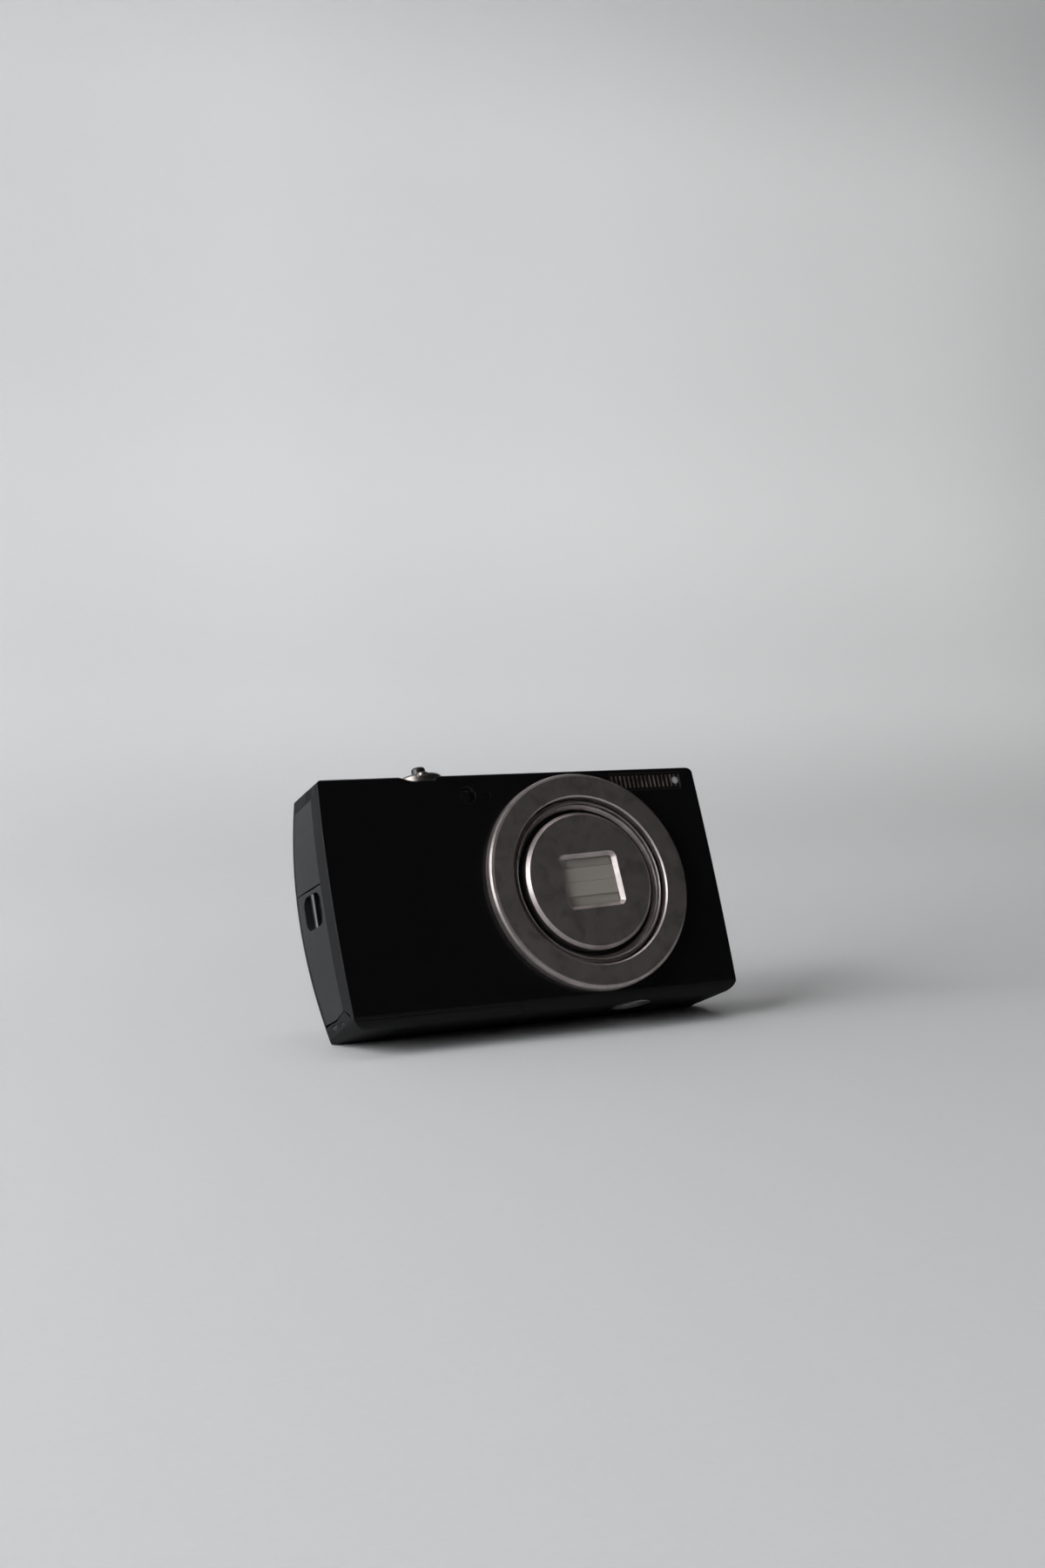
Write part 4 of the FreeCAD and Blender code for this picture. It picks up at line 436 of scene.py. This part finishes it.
link(lathe, direction.outputs[0], broad.inputs["Vector"])
link(lathe, fine.outputs["Fac"], outside.inputs["Height"])
link(lathe, broad.outputs["Fac"], outside.inputs["Streak Sheen"])
print("group", lathe.name, len(lathe.nodes), "nodes")

# %% [markdown]
# Every finish starts from the same few steps, so one helper makes the material, its grain, its
# soft edges and its bump, and each finish then only says its own colour and numbers. It hands back
# its nodes by name, so that a special finish can go on from them.

# %% Helper for finishes
BUMP_HIGH = 0.02 * MM
RUBBED_GAIN, RUBBED_LIFT = 1.3, 0.004
finishes = {}


def lighter(colour, gain, lift=0.0):
    """The colour made lighter or darker, never over white."""
    return [min(1.0, gain * c + lift) for c in colour]


def use_group(tree, group, **values):
    """Node that holds a shared group, with its input values given."""
    node = tree.nodes.new("ShaderNodeGroup")
    node.node_tree = group
    for name, value in values.items():
        node.inputs[name.replace("_", " ")].default_value = value
    return node


def finish(slot, colour, low, high, scale=3000.0, metal=0.0, bump=0.05, edge=0.15, wear=None):
    """Material with grain between two roughnesses and with rounded, rubbed edges."""
    material = bpy.data.materials.new(slot + "_finish")
    material.use_nodes = True
    tree = material.node_tree
    shader = tree.nodes["Principled BSDF"]
    shader.inputs["Base Color"].default_value = (*colour, 1)
    shader.inputs["Metallic"].default_value = metal
    rubbed = wear or lighter(colour, RUBBED_GAIN, RUBBED_LIFT)
    grains = use_group(tree, grain, Scale=scale, Low=low, High=high)
    rounded = use_group(tree, edges, Width=edge * MM)
    raised = add(tree, "ShaderNodeBump", Strength=bump, Distance=BUMP_HIGH)
    rub = add(tree, "ShaderNodeMix", data_type="RGBA", A=(*colour, 1), B=(*rubbed, 1))
    link(tree, grains.outputs["Value"], shader.inputs["Roughness"])
    link(tree, grains.outputs["Height"], raised.inputs["Height"])
    link(tree, rounded.outputs["Normal"], raised.inputs["Normal"])
    link(tree, raised.outputs["Normal"], shader.inputs["Normal"])
    link(tree, rounded.outputs["Mask"], rub.inputs["Factor"])
    link(tree, rub.outputs["Result"], shader.inputs["Base Color"])
    finishes[slot] = material
    return SimpleNamespace(tree=tree, shader=shader, rub=rub, raised=raised, grains=grains)


print("groups", [group.name for group in bpy.data.node_groups])

# %% [markdown]
# The front and rear shells are black lacquer on plastic: a very dark colour under a clear coat.
# The coat mirrors sharply, and the smears of handling only show in how the coat shines.

# %% Black gloss of the shells
COAT_SMEARED = 0.75
gloss = finish("gloss_black", (0.004, 0.004, 0.0045), 0.22, 0.28, bump=0.02, edge=0.25)
gloss.shader.inputs["Specular IOR Level"].default_value = 0.25
gloss.shader.inputs["Coat Roughness"].default_value = 0.04
gloss.shader.inputs["Coat IOR"].default_value = 1.3
tree = gloss.tree
touched = use_group(tree, handling, Smear_Scale=55.0)
coat_wear = add(tree, "ShaderNodeMapRange", To_Min=1.0, To_Max=COAT_SMEARED)
link(tree, touched.outputs["Smear"], coat_wear.inputs["Value"])
print("finishes", list(finishes))

# %% [markdown]
# The underside, its rounded edges and the grip end have no coat and stay matt. Two materials on one
# piece would need its faces sorted, so the way a surface faces says where the coat ends. A normal
# that points down has a z below zero, and one that points to the grip end has an x below zero.

# %% Bare underside and grip end
MATT_ROUGHNESS = 0.75
UNDER_FROM, UNDER_FULL = -0.02, -0.3
END_FROM, END_FULL = -0.4, -0.75
facing = add(tree, "ShaderNodeTexCoord")
facing_parts = add(tree, "ShaderNodeSeparateXYZ")
below = add(tree, "ShaderNodeMapRange", From_Min=UNDER_FROM, From_Max=UNDER_FULL)
at_end = add(tree, "ShaderNodeMapRange", From_Min=END_FROM, From_Max=END_FULL)
bare = add(tree, "ShaderNodeMath", operation="MAXIMUM")
coated = add(tree, "ShaderNodeMix", data_type="FLOAT", B=0.0)
rough = add(tree, "ShaderNodeMix", data_type="FLOAT", B=MATT_ROUGHNESS)
link(tree, facing.outputs["Normal"], facing_parts.inputs[0])
link(tree, facing_parts.outputs["Z"], below.inputs["Value"])
link(tree, facing_parts.outputs["X"], at_end.inputs["Value"])
link(tree, below.outputs["Result"], bare.inputs[0])
link(tree, at_end.outputs["Result"], bare.inputs[1])
link(tree, bare.outputs[0], coated.inputs["Factor"])
link(tree, bare.outputs[0], rough.inputs["Factor"])
link(tree, coat_wear.outputs["Result"], coated.inputs["A"])
link(tree, gloss.grains.outputs["Value"], rough.inputs["A"])
link(tree, coated.outputs["Result"], gloss.shader.inputs["Coat Weight"])
link(tree, rough.outputs["Result"], gloss.shader.inputs["Roughness"])
print("gloss black has", len(tree.nodes), "nodes")

# %% [markdown]
# The grey end cover and flap, the keys and the pieces inside are plain mouldings. They differ in
# colour, in how rough they are and in how strong their grain is.

# %% Plain mouldings
grey = finish("matt_grey", (0.013, 0.013, 0.0135), 0.45, 0.6, scale=2200.0, bump=0.35,
              wear=(0.04, 0.04, 0.042))
grey.shader.inputs["Specular IOR Level"].default_value = 0.3
finish("inner_black", (0.015, 0.015, 0.016), 0.55, 0.7, bump=0.2)
finish("key_dark", (0.03, 0.03, 0.032), 0.3, 0.4, bump=0.08, wear=(0.06, 0.06, 0.06))
finish("battery_grey", (0.09, 0.09, 0.095), 0.4, 0.5, bump=0.15)
finish("latch_orange", (0.75, 0.22, 0.03), 0.35, 0.45, bump=0.1)
finish("card_blue", (0.02, 0.06, 0.22), 0.4, 0.5, bump=0.15)
finish("gear_white", (0.75, 0.74, 0.70), 0.35, 0.45, bump=0.1)
finish("capacitor_black", (0.012, 0.012, 0.014), 0.2, 0.3, bump=0.05)
finish("screen_dark", (0.012, 0.013, 0.016), 0.25, 0.3, bump=0.02)
finish("window_black", (0.008, 0.008, 0.009), 0.05, 0.07, bump=0.0)
finish("sensor_green", (0.05, 0.09, 0.075), 0.1, 0.15, bump=0.0)
print("finishes", len(finishes))

# %% [markdown]
# The ring and barrels are turned aluminium under a warm grey anodised skin. The lathe group gives
# fine rings as bump, and its streaks shift the colour between a darker and a lighter tone, partly at
# random and partly as a painted sheen, so that the ring glints as it is turned. Handling leaves
# darker smears and a few pale specks on them.

# %% Turned ring metal
RING_DARK, RING_LIGHT = (0.41, 0.36, 0.35), (0.60, 0.54, 0.525)
SMEARED_GAIN, SPECK_GAIN, WORN_GAIN = 0.88, 1.5, 1.25
ring = finish("ring_metal", RING_DARK, 0.38, 0.52, metal=1.0, bump=0.25, edge=0.12)
tree = ring.tree
rings = use_group(tree, lathe)
touched = use_group(tree, handling, Smear_Scale=260.0, Speck_Scale=700.0)
# The streaks mix the two tones: random tone, and a painted sheen where turned metal would glint.
tone_and_sheen = add(tree, "ShaderNodeMix", data_type="RGBA", A=(*RING_DARK, 1), B=(*RING_LIGHT, 1))
smeared = add(tree, "ShaderNodeMix", data_type="RGBA", B=(*lighter(RING_DARK, SMEARED_GAIN), 1))
specked = add(tree, "ShaderNodeMix", data_type="RGBA", B=(*lighter(RING_LIGHT, SPECK_GAIN), 1))
ring.rub.inputs["B"].default_value = (*lighter(RING_LIGHT, WORN_GAIN), 1)
link(tree, rings.outputs["Height"], ring.raised.inputs["Height"])
link(tree, rings.outputs["Streak Sheen"], tone_and_sheen.inputs["Factor"])
link(tree, tone_and_sheen.outputs["Result"], smeared.inputs["A"])
link(tree, touched.outputs["Smear"], smeared.inputs["Factor"])
link(tree, smeared.outputs["Result"], specked.inputs["A"])
link(tree, touched.outputs["Speck"], specked.inputs["Factor"])
link(tree, specked.outputs["Result"], ring.rub.inputs["A"])
print("ring metal has", len(tree.nodes), "nodes")

# %% [markdown]
# The other metals are sheet and wire, or too small for rings to be seen, so they have plain grain.
# The blades are painted a light warm grey and shine only a little.

# %% Blades and plain metals
finish("blade_grey", (0.46, 0.42, 0.375), 0.45, 0.55, metal=0.2, bump=0.1)
finish("steel", (0.56, 0.56, 0.57), 0.25, 0.4, metal=1.0, bump=0.1)
finish("brass", (0.80, 0.58, 0.28), 0.2, 0.3, metal=1.0, bump=0.05)
finish("screw_black", (0.05, 0.05, 0.052), 0.3, 0.4, metal=1.0, bump=0.1, wear=(0.2, 0.2, 0.2))
finish("reflector", (0.86, 0.86, 0.86), 0.12, 0.2, metal=1.0, bump=0.03)
print("finishes", len(finishes))

# %% [markdown]
# Clear pieces keep a plain transmission. Lens glass is smooth; the lamp covers are a little
# frosted, so that what is behind them blurs.

# %% Glass and clear plastic
GLASS_IOR, PLASTIC_IOR = 1.52, 1.49
CLEAR_SPREAD = 0.02


def clear_finish(slot, colour, roughness, ior):
    """See-through material, smooth or frosted."""
    made = finish(slot, colour, roughness, roughness + CLEAR_SPREAD, bump=0.0, edge=0.05)
    made.shader.inputs["Transmission Weight"].default_value = 1.0
    made.shader.inputs["IOR"].default_value = ior


clear_finish("glass", (0.96, 0.97, 1.0), 0.0, GLASS_IOR)
clear_finish("clear_plastic", (0.92, 0.92, 0.94), 0.03, PLASTIC_IOR)
clear_finish("lamp_clear", (0.95, 0.93, 0.88), 0.25, PLASTIC_IOR)
print("finishes", len(finishes))

# %% [markdown]
# The circuit boards are green lacquer over copper tracks. A drawing of the tracks would hardly be
# seen through the gaps, so a brick pattern stands for them.

# %% Circuit boards
board = finish("board_green", (0.01, 0.09, 0.045), 0.35, 0.45, bump=0.1)
tree = board.tree
place = add(tree, "ShaderNodeTexCoord")
tracks = add(tree, "ShaderNodeTexBrick", Scale=400.0, Color1=(0.012, 0.11, 0.055, 1),
             Color2=(0.01, 0.085, 0.04, 1), Mortar=(0.03, 0.17, 0.09, 1))
link(tree, place.outputs["Object"], tracks.inputs["Vector"])
link(tree, tracks.outputs["Color"], board.rub.inputs["A"])
print("finishes", len(finishes))

# %% [markdown]
# Each piece came in with a plain material named after its slot. The finish of that slot takes its
# place, so colours stay in step with the record.

# %% Give every piece its finish
for piece in nodes.values():
    for i, plain in enumerate(piece.data.materials):
        piece.data.materials[i] = finishes[plain.name.split(".")[0]]
print("finished", len(nodes), "pieces")

# %% [markdown]
# Some pieces look different from the others of their slot. The bar for the strap and the slider of
# the door are dark steel, the release button is black, and its ring is a browner metal.

# %% Finishes of single pieces
finish("strap_dark", (0.05, 0.05, 0.052), 0.3, 0.4, metal=1.0, bump=0.1, wear=(0.12, 0.12, 0.12))
finish("button_dark", (0.012, 0.012, 0.012), 0.3, 0.4, bump=0.05)
finish("lever_metal", (0.20, 0.18, 0.165), 0.32, 0.42, metal=1.0, bump=0.1, wear=(0.4, 0.37, 0.34))
print("finishes", len(finishes))

# %% [markdown]
# The flash window is ribbed upright on its back, and in the photograph it shows fine uneven pale
# lines on brown. The ribs of the CAD piece would show them only if light bent in it just as in the
# real one. A wave in the colour paints these highlights instead, which is surer, with a noise to make
# it patchy and a limit above and below. At a scale of 1 the wave repeats every 0.314 m, so its scale
# is that over the lines' pitch.

# %% Painted highlight lines of the flash window
WAVE_PERIOD = 0.314
LINE_PITCH = 1.1 * MM
RIB_DARK, RIB_HIGHLIGHT = (0.012, 0.010, 0.009, 1), (0.34, 0.285, 0.235, 1)
RIB_END, RIB_FADE = 1.5 * MM, 1.25 * MM
flash_low, flash_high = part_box("flash_window")
FLASH_Z = (flash_low.z + flash_high.z) / 2

flash = finish("flash_rib_highlights", (0.03, 0.027, 0.024), 0.12, 0.2, bump=0.02, edge=0.05)
flash.shader.inputs["Transmission Weight"].default_value = 0.25
flash.shader.inputs["IOR"].default_value = PLASTIC_IOR
tree = flash.tree
place = add(tree, "ShaderNodeTexCoord")
ribs = add(tree, "ShaderNodeTexWave", bands_direction="X", Scale=WAVE_PERIOD / LINE_PITCH, Distortion=0.3)
rib_mask = add(tree, "ShaderNodeMapRange", From_Min=0.55, From_Max=0.95, To_Max=0.7)
patchy = add(tree, "ShaderNodeTexNoise", Scale=420.0, Detail=2.0)
patches = add(tree, "ShaderNodeMapRange", From_Min=0.35, From_Max=0.65, To_Min=0.25)
uneven = add(tree, "ShaderNodeMath", operation="MULTIPLY")
rib_parts = add(tree, "ShaderNodeSeparateXYZ")
off_middle = add(tree, "ShaderNodeMath", operation="SUBTRACT")
off_middle.inputs[1].default_value = FLASH_Z
away = add(tree, "ShaderNodeMath", operation="ABSOLUTE")
in_row = add(tree, "ShaderNodeMapRange", From_Min=RIB_END, From_Max=RIB_FADE)
rib_row = add(tree, "ShaderNodeMath", operation="MULTIPLY")
# The pale lines are painted highlights of light bent in the ribs, over a dark colour between them.
rib_highlights = add(tree, "ShaderNodeMix", data_type="RGBA", A=RIB_DARK, B=RIB_HIGHLIGHT)
for texture in (ribs, patchy):
    link(tree, place.outputs["Object"], texture.inputs["Vector"])
link(tree, ribs.outputs["Fac"], rib_mask.inputs["Value"])
link(tree, patchy.outputs["Fac"], patches.inputs["Value"])
link(tree, patches.outputs["Result"], uneven.inputs[0])
link(tree, rib_mask.outputs["Result"], uneven.inputs[1])
link(tree, place.outputs["Object"], rib_parts.inputs[0])
link(tree, rib_parts.outputs["Z"], off_middle.inputs[0])
link(tree, off_middle.outputs[0], away.inputs[0])
link(tree, away.outputs[0], in_row.inputs["Value"])
link(tree, uneven.outputs[0], rib_row.inputs[0])
link(tree, in_row.outputs["Result"], rib_row.inputs[1])
link(tree, rib_row.outputs[0], rib_highlights.inputs["Factor"])
print("lines across the window", round((flash_high.x - flash_low.x) / LINE_PITCH))

# %% [markdown]
# The end of the flash window that is farther from the lens shows one round bright spot, a painted
# highlight. It is a disc of pale colour round a point on the window, in place of light shining there.

# %% Painted highlight at the end of the flash window
HIGHLIGHT_IN, HIGHLIGHT_R, HIGHLIGHT_FLAT_R = 1.3 * MM, 0.95 * MM, 0.55 * MM
highlight_at = add(tree, "ShaderNodeVectorMath", operation="DISTANCE")
highlight_at.inputs[1].default_value = (flash_high.x - HIGHLIGHT_IN, flash_low.y, FLASH_Z)
near = add(tree, "ShaderNodeMapRange", From_Min=HIGHLIGHT_R, From_Max=HIGHLIGHT_FLAT_R)
# Painted highlight: a pale disc in the colour where light shines on the window's end.
painted_highlight = add(tree, "ShaderNodeMix", data_type="RGBA", B=(0.62, 0.61, 0.60, 1))
link(tree, place.outputs["Object"], highlight_at.inputs[0])
link(tree, highlight_at.outputs["Value"], near.inputs["Value"])
link(tree, near.outputs["Result"], painted_highlight.inputs["Factor"])
link(tree, rib_highlights.outputs["Result"], painted_highlight.inputs["A"])
link(tree, painted_highlight.outputs["Result"], flash.rub.inputs["A"])
print("flash rib highlights have", len(tree.nodes), "nodes")

# %% [markdown]
# A CAD piece keeps its mesh, and only what its material slots hold is changed. One table says which
# piece gets which finish, so another piece would be one more line.

# %% Give single pieces their finishes
OWN_LOOK = {
    "strap_bar": "strap_dark",
    "door_slider": "strap_dark",
    "shutter_button": "button_dark",
    "zoom_lever": "lever_metal",
    "flash_window": "flash_rib_highlights",
}
for name, look in OWN_LOOK.items():
    for i in range(len(nodes[name].data.materials)):
        nodes[name].data.materials[i] = finishes[look]
print("own finishes", OWN_LOOK)

# %% [markdown]
# The screws' cross slots, the lip of the barrel, the thread of the tripod bush and the small signs
# on the keys are modelled here, since CAD leaves them out. Each is made in millimetres about the
# origin, where it is easy to think about. Two helpers make the simple forms, and both round the
# edges, because an edge with no width would not catch any light.

# %% Helpers for simple forms
DISC_CORNERS = 48
SMALL_EDGE = 0.02


def settle():
    """Put the place, turn and scale of the piece in hand into its mesh."""
    bpy.ops.object.transform_apply(location=True, rotation=True, scale=True)
    return bpy.context.object


def soften(width):
    """Settle the piece just made and round its edges."""
    piece = settle()
    soft = piece.modifiers.new("soft", "BEVEL")
    soft.width, soft.segments = width, 2
    bpy.ops.object.modifier_apply(modifier="soft")
    return piece


def prism(corners, radius, low, high, centre=(0.0, 0.0), turn=0.0, edge=SMALL_EDGE):
    """Upright prism or disc between two heights, edges rounded."""
    bpy.ops.object.select_all(action="DESELECT")
    bpy.ops.mesh.primitive_cylinder_add(
        vertices=corners, radius=radius, depth=high - low,
        location=(*centre, (low + high) / 2), rotation=(0, 0, turn))
    return soften(edge)


def bar(size, low, high, centre=(0.0, 0.0), turn=0.0):
    """Flat bar between two heights, edges rounded."""
    bpy.ops.object.select_all(action="DESELECT")
    bpy.ops.mesh.primitive_cube_add(
        size=1, location=(*centre, (low + high) / 2), rotation=(0, 0, turn))
    bpy.context.object.scale = (*size, high - low)
    return soften(SMALL_EDGE)


print("edges of small forms are rounded by mm", SMALL_EDGE)

# %% [markdown]
# The forms of a detail are joined, brought into the frame and declared. A detail's face looks
# towards +z at first, so a sign on the back is turned towards +y and a screw below towards -z. The
# place goes into the mesh, so that each new object stays at the origin, as the CAD pieces do.

# %% Helpers to place a detail
TO_TOP = Matrix.Identity(4)
TO_BACK = Matrix(((-1, 0, 0), (0, 0, 1), (0, 1, 0))).to_4x4()
TO_FLOOR = Matrix(((1, 0, 0), (0, -1, 0), (0, 0, -1))).to_4x4()
TO_END = Matrix(((0, 0, 1), (1, 0, 0), (0, 1, 0))).to_4x4()
SMOOTH_UNDER = math.radians(30)


def gather(pieces, name):
    """Join pieces into one object of that name."""
    bpy.ops.object.select_all(action="DESELECT")
    for piece in pieces:
        piece.select_set(True)
    bpy.context.view_layer.objects.active = pieces[0]
    if len(pieces) > 1:
        bpy.ops.object.join()
    whole = bpy.context.object
    whole.name = whole.data.name = name
    return whole


def put(piece, point, turned=TO_TOP):
    """Bring a mesh from millimetres about the origin to its place in the frame."""
    piece.data.transform(Matrix.Translation(point) @ turned @ Matrix.Scale(MM, 4))


def declare(whole, body, slot, stands_for=()):
    """Give a piece its finish, and say which body and slot it belongs to."""
    bpy.ops.object.shade_smooth_by_angle(angle=SMOOTH_UNDER)
    whole.data.materials.clear()
    whole.data.materials.append(finishes[slot])
    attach(whole, body)
    if stands_for:
        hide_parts(*stands_for)
    print(whole.name, len(whole.data.polygons), "faces on", body)


print("faces are shaded as one up to degrees", round(math.degrees(SMOOTH_UNDER)))

# %% [markdown]
# Five small black screws hold the case, three in the underside and two in the plain end. CAD has
# them without slots. A cross slot could be drawn as dark paint, but its edges catch the light, so
# it is cut by two bars with the Boolean modifier, once, and the screw is copied.

# %% Pattern of the case screw
HEAD_R, HEAD_T, HEAD_EDGE = 1.3, 0.5, 0.08
SHANK_R, SHANK_L, SHANK_EDGE, SHANK_INTO_HEAD = 0.6, 2.5, 0.1, 0.05
SHANK_CORNERS = 24
SLOT_L, SLOT_W, SLOT_DEEP = 1.6, 0.34, 0.3


def cut_away(piece, cutter):
    """Take the cutter's shape out of a piece."""
    cut = piece.modifiers.new("cut", "BOOLEAN")
    cut.operation, cut.object = "DIFFERENCE", cutter
    bpy.ops.object.select_all(action="DESELECT")
    bpy.context.view_layer.objects.active = piece
    bpy.ops.object.modifier_apply(modifier="cut")
    bpy.data.objects.remove(cutter)


def cross_screw():
    """Screw with its head's face at z = 0."""
    head = prism(DISC_CORNERS, HEAD_R, -HEAD_T, 0.0, edge=HEAD_EDGE)
    for turn in (0.0, math.pi / 2):
        cut_away(head, bar((SLOT_L, SLOT_W), -SLOT_DEEP, SLOT_DEEP, turn=turn))
    shank = prism(SHANK_CORNERS, SHANK_R, -SHANK_L, SHANK_INTO_HEAD - HEAD_T, edge=SHANK_EDGE)
    return gather([head, shank], "cross_screw")


pattern = cross_screw()
print("screw pattern", len(pattern.data.polygons), "faces")

# %% [markdown]
# The copies are set where the box of the CAD screws and their known distances put them. The joined
# piece stands for the CAD screws, which then aren't shown.

# %% Case screws
SCREWS_FROM_LENS = (-14.75 * MM, 17.75 * MM, 27.25 * MM)
LOW_SCREW_Z = 10.0 * MM
screws_low, screws_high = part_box("case_screws")
screw_y = (screws_low.y + screws_high.y) / 2
screw_places = []
for x in SCREWS_FROM_LENS:
    screw_places.append((Vector((LENS_X + x, screw_y, screws_low.z)), TO_FLOOR))
for z in (screws_high.z - HEAD_R * MM, BOTTOM_Z + LOW_SCREW_Z):
    screw_places.append((Vector((screws_high.x, screw_y, z)), TO_END))
copies = []
for point, turned in screw_places:
    copy = bpy.data.objects.new("screw", pattern.data.copy())
    bpy.context.scene.collection.objects.link(copy)
    put(copy, point, turned)
    copies.append(copy)
bpy.data.objects.remove(pattern)
declare(gather(copies, "cross_screws"), "camera_body", "screw_black", ["case_screws"])

# %% [markdown]
# The outer barrel's rim has a fine raised lip where it starts to slope in. In the photograph it is
# the thin line inside the ring. A torus drawn out along the lens axis gives it, with most of its
# height in the rim.

# %% Lip of the barrel's rim
LIP_R, LIP_T, LIP_BEFORE_FRONT, LIP_STRETCH = 17.4, 0.24, 0.95, 3.6
bpy.ops.object.select_all(action="DESELECT")
bpy.ops.mesh.primitive_torus_add(
    major_radius=LIP_R, minor_radius=LIP_T, major_segments=160, minor_segments=14,
    rotation=(math.pi / 2, 0, 0))
bpy.context.object.scale = (1.0, 1.0, LIP_STRETCH)
lip = gather([settle()], "rim_bead")
put(lip, Vector((LENS_X, FRONT_Y - LIP_BEFORE_FRONT * MM, LENS_Z)))
declare(lip, "outer_lens", "ring_metal")

# %% [markdown]
# The bush for a tripod has a quarter inch thread, and CAD has a plain bore there. A bump would not
# show at the mouth of the bore, so a small triangle is wound up along it by the Screw modifier,
# and the two ends are closed.

# %% Tripod thread
PITCH, TURNS, STEPS = 1.27, 3, 40
THREAD_R, THREAD_T, THREAD_STRETCH, THREAD_START = 2.62, 0.2, 1.7, 0.75
bpy.ops.object.select_all(action="DESELECT")
bpy.ops.mesh.primitive_circle_add(
    vertices=3, radius=THREAD_T, location=(THREAD_R, 0, THREAD_START),
    rotation=(math.pi / 2, -math.pi / 2, 0))
bpy.context.object.scale = (THREAD_STRETCH, 1.0, 1.0)
thread = gather([settle()], "tripod_thread_turns")
wind = thread.modifiers.new("wind", "SCREW")
wind.axis, wind.angle, wind.screw_offset, wind.iterations = "Z", 2 * math.pi, PITCH, TURNS
wind.steps = wind.render_steps = STEPS
bpy.ops.object.modifier_apply(modifier="wind")
bpy.ops.object.mode_set(mode="EDIT")
bpy.ops.mesh.select_all(action="SELECT")
bpy.ops.mesh.fill_holes(sides=3)
bpy.ops.mesh.normals_make_consistent(inside=False)
bpy.ops.object.mode_set(mode="OBJECT")
bush_low, bush_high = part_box("tripod_socket")
bush_middle = (bush_low + bush_high) / 2
put(thread, Vector((bush_middle.x, bush_middle.y, bush_low.z)))
declare(thread, "camera_body", "steel")

# %% [markdown]
# The keys carry plain printed signs. They could be painted on by a mask in the material, but as
# thin plates they stay sharp however near one looks. Each rides on its own key.

# %% Helper for signs
SIGN_T = 0.03
SIGN_SUNK = 0.05
QUARTER = math.pi / 2


def sign(pieces, name, node, body, slot="gear_white", turned=TO_BACK):
    """Set a sign on the middle of a key's outer face."""
    low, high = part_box(node)
    centre = (low + high) / 2
    if turned is TO_BACK:
        centre.y = high.y
    else:
        centre.z = high.z
    whole = gather(pieces, name)
    put(whole, centre, turned)
    declare(whole, body, slot)


def plate(corners, radius, centre=(0.0, 0.0), turn=0.0):
    """Thin plate with that many corners, or a disc."""
    return prism(corners, radius, -SIGN_SUNK, SIGN_T, centre, turn)


def strip(size, centre):
    """Thin straight strip."""
    return bar(size, -SIGN_SUNK, SIGN_T, centre)


print("signs stand proud by mm", SIGN_T)

# %% [markdown]
# On the back these are a triangle to play, a dot to film and three strips for the menu.

# %% Signs on the three keys
PLAY_R, DOT_R = 1.25, 1.15
STRIP, STRIP_GAP = (2.3, 0.34), 0.8
sign([plate(3, PLAY_R, turn=-QUARTER)], "play_sign", "playback_key", "key_playback")
sign([plate(DISC_CORNERS, DOT_R)], "film_sign", "movie_key", "key_movie", slot="latch_orange")
strips = [strip(STRIP, (0, y)) for y in (-STRIP_GAP, 0.0, STRIP_GAP)]
sign(strips, "menu_sign", "menu_key", "key_menu")

# %% [markdown]
# Four arrows stand round the pad, each a triangle that points away from the middle.

# %% Arrows of the pad
ARROW_R, ARROW_FAR = 0.6, 6.2
arrows = []
for i in range(4):
    around = i * QUARTER
    tip = (ARROW_FAR * math.cos(around), ARROW_FAR * math.sin(around))
    arrows.append(plate(3, ARROW_R, tip, around - QUARTER))
sign(arrows, "pad_signs", "control_pad", "pad")

# %% [markdown]
# The power button on the top has a ring with a short strip across it.

# %% Sign of the power button
RING_R, RING_T, RING_FLAT = 0.95, 0.13, 0.25
STROKE, STROKE_UP = (0.26, 0.9), 0.75
bpy.ops.object.select_all(action="DESELECT")
bpy.ops.mesh.primitive_torus_add(
    major_radius=RING_R, minor_radius=RING_T, major_segments=DISC_CORNERS, minor_segments=10)
bpy.context.object.scale = (1, 1, RING_FLAT)
power_ring = settle()
power_strip = strip(STROKE, (0, STROKE_UP))
sign([power_ring, power_strip], "power_sign", "power_button", "power", turned=TO_TOP)
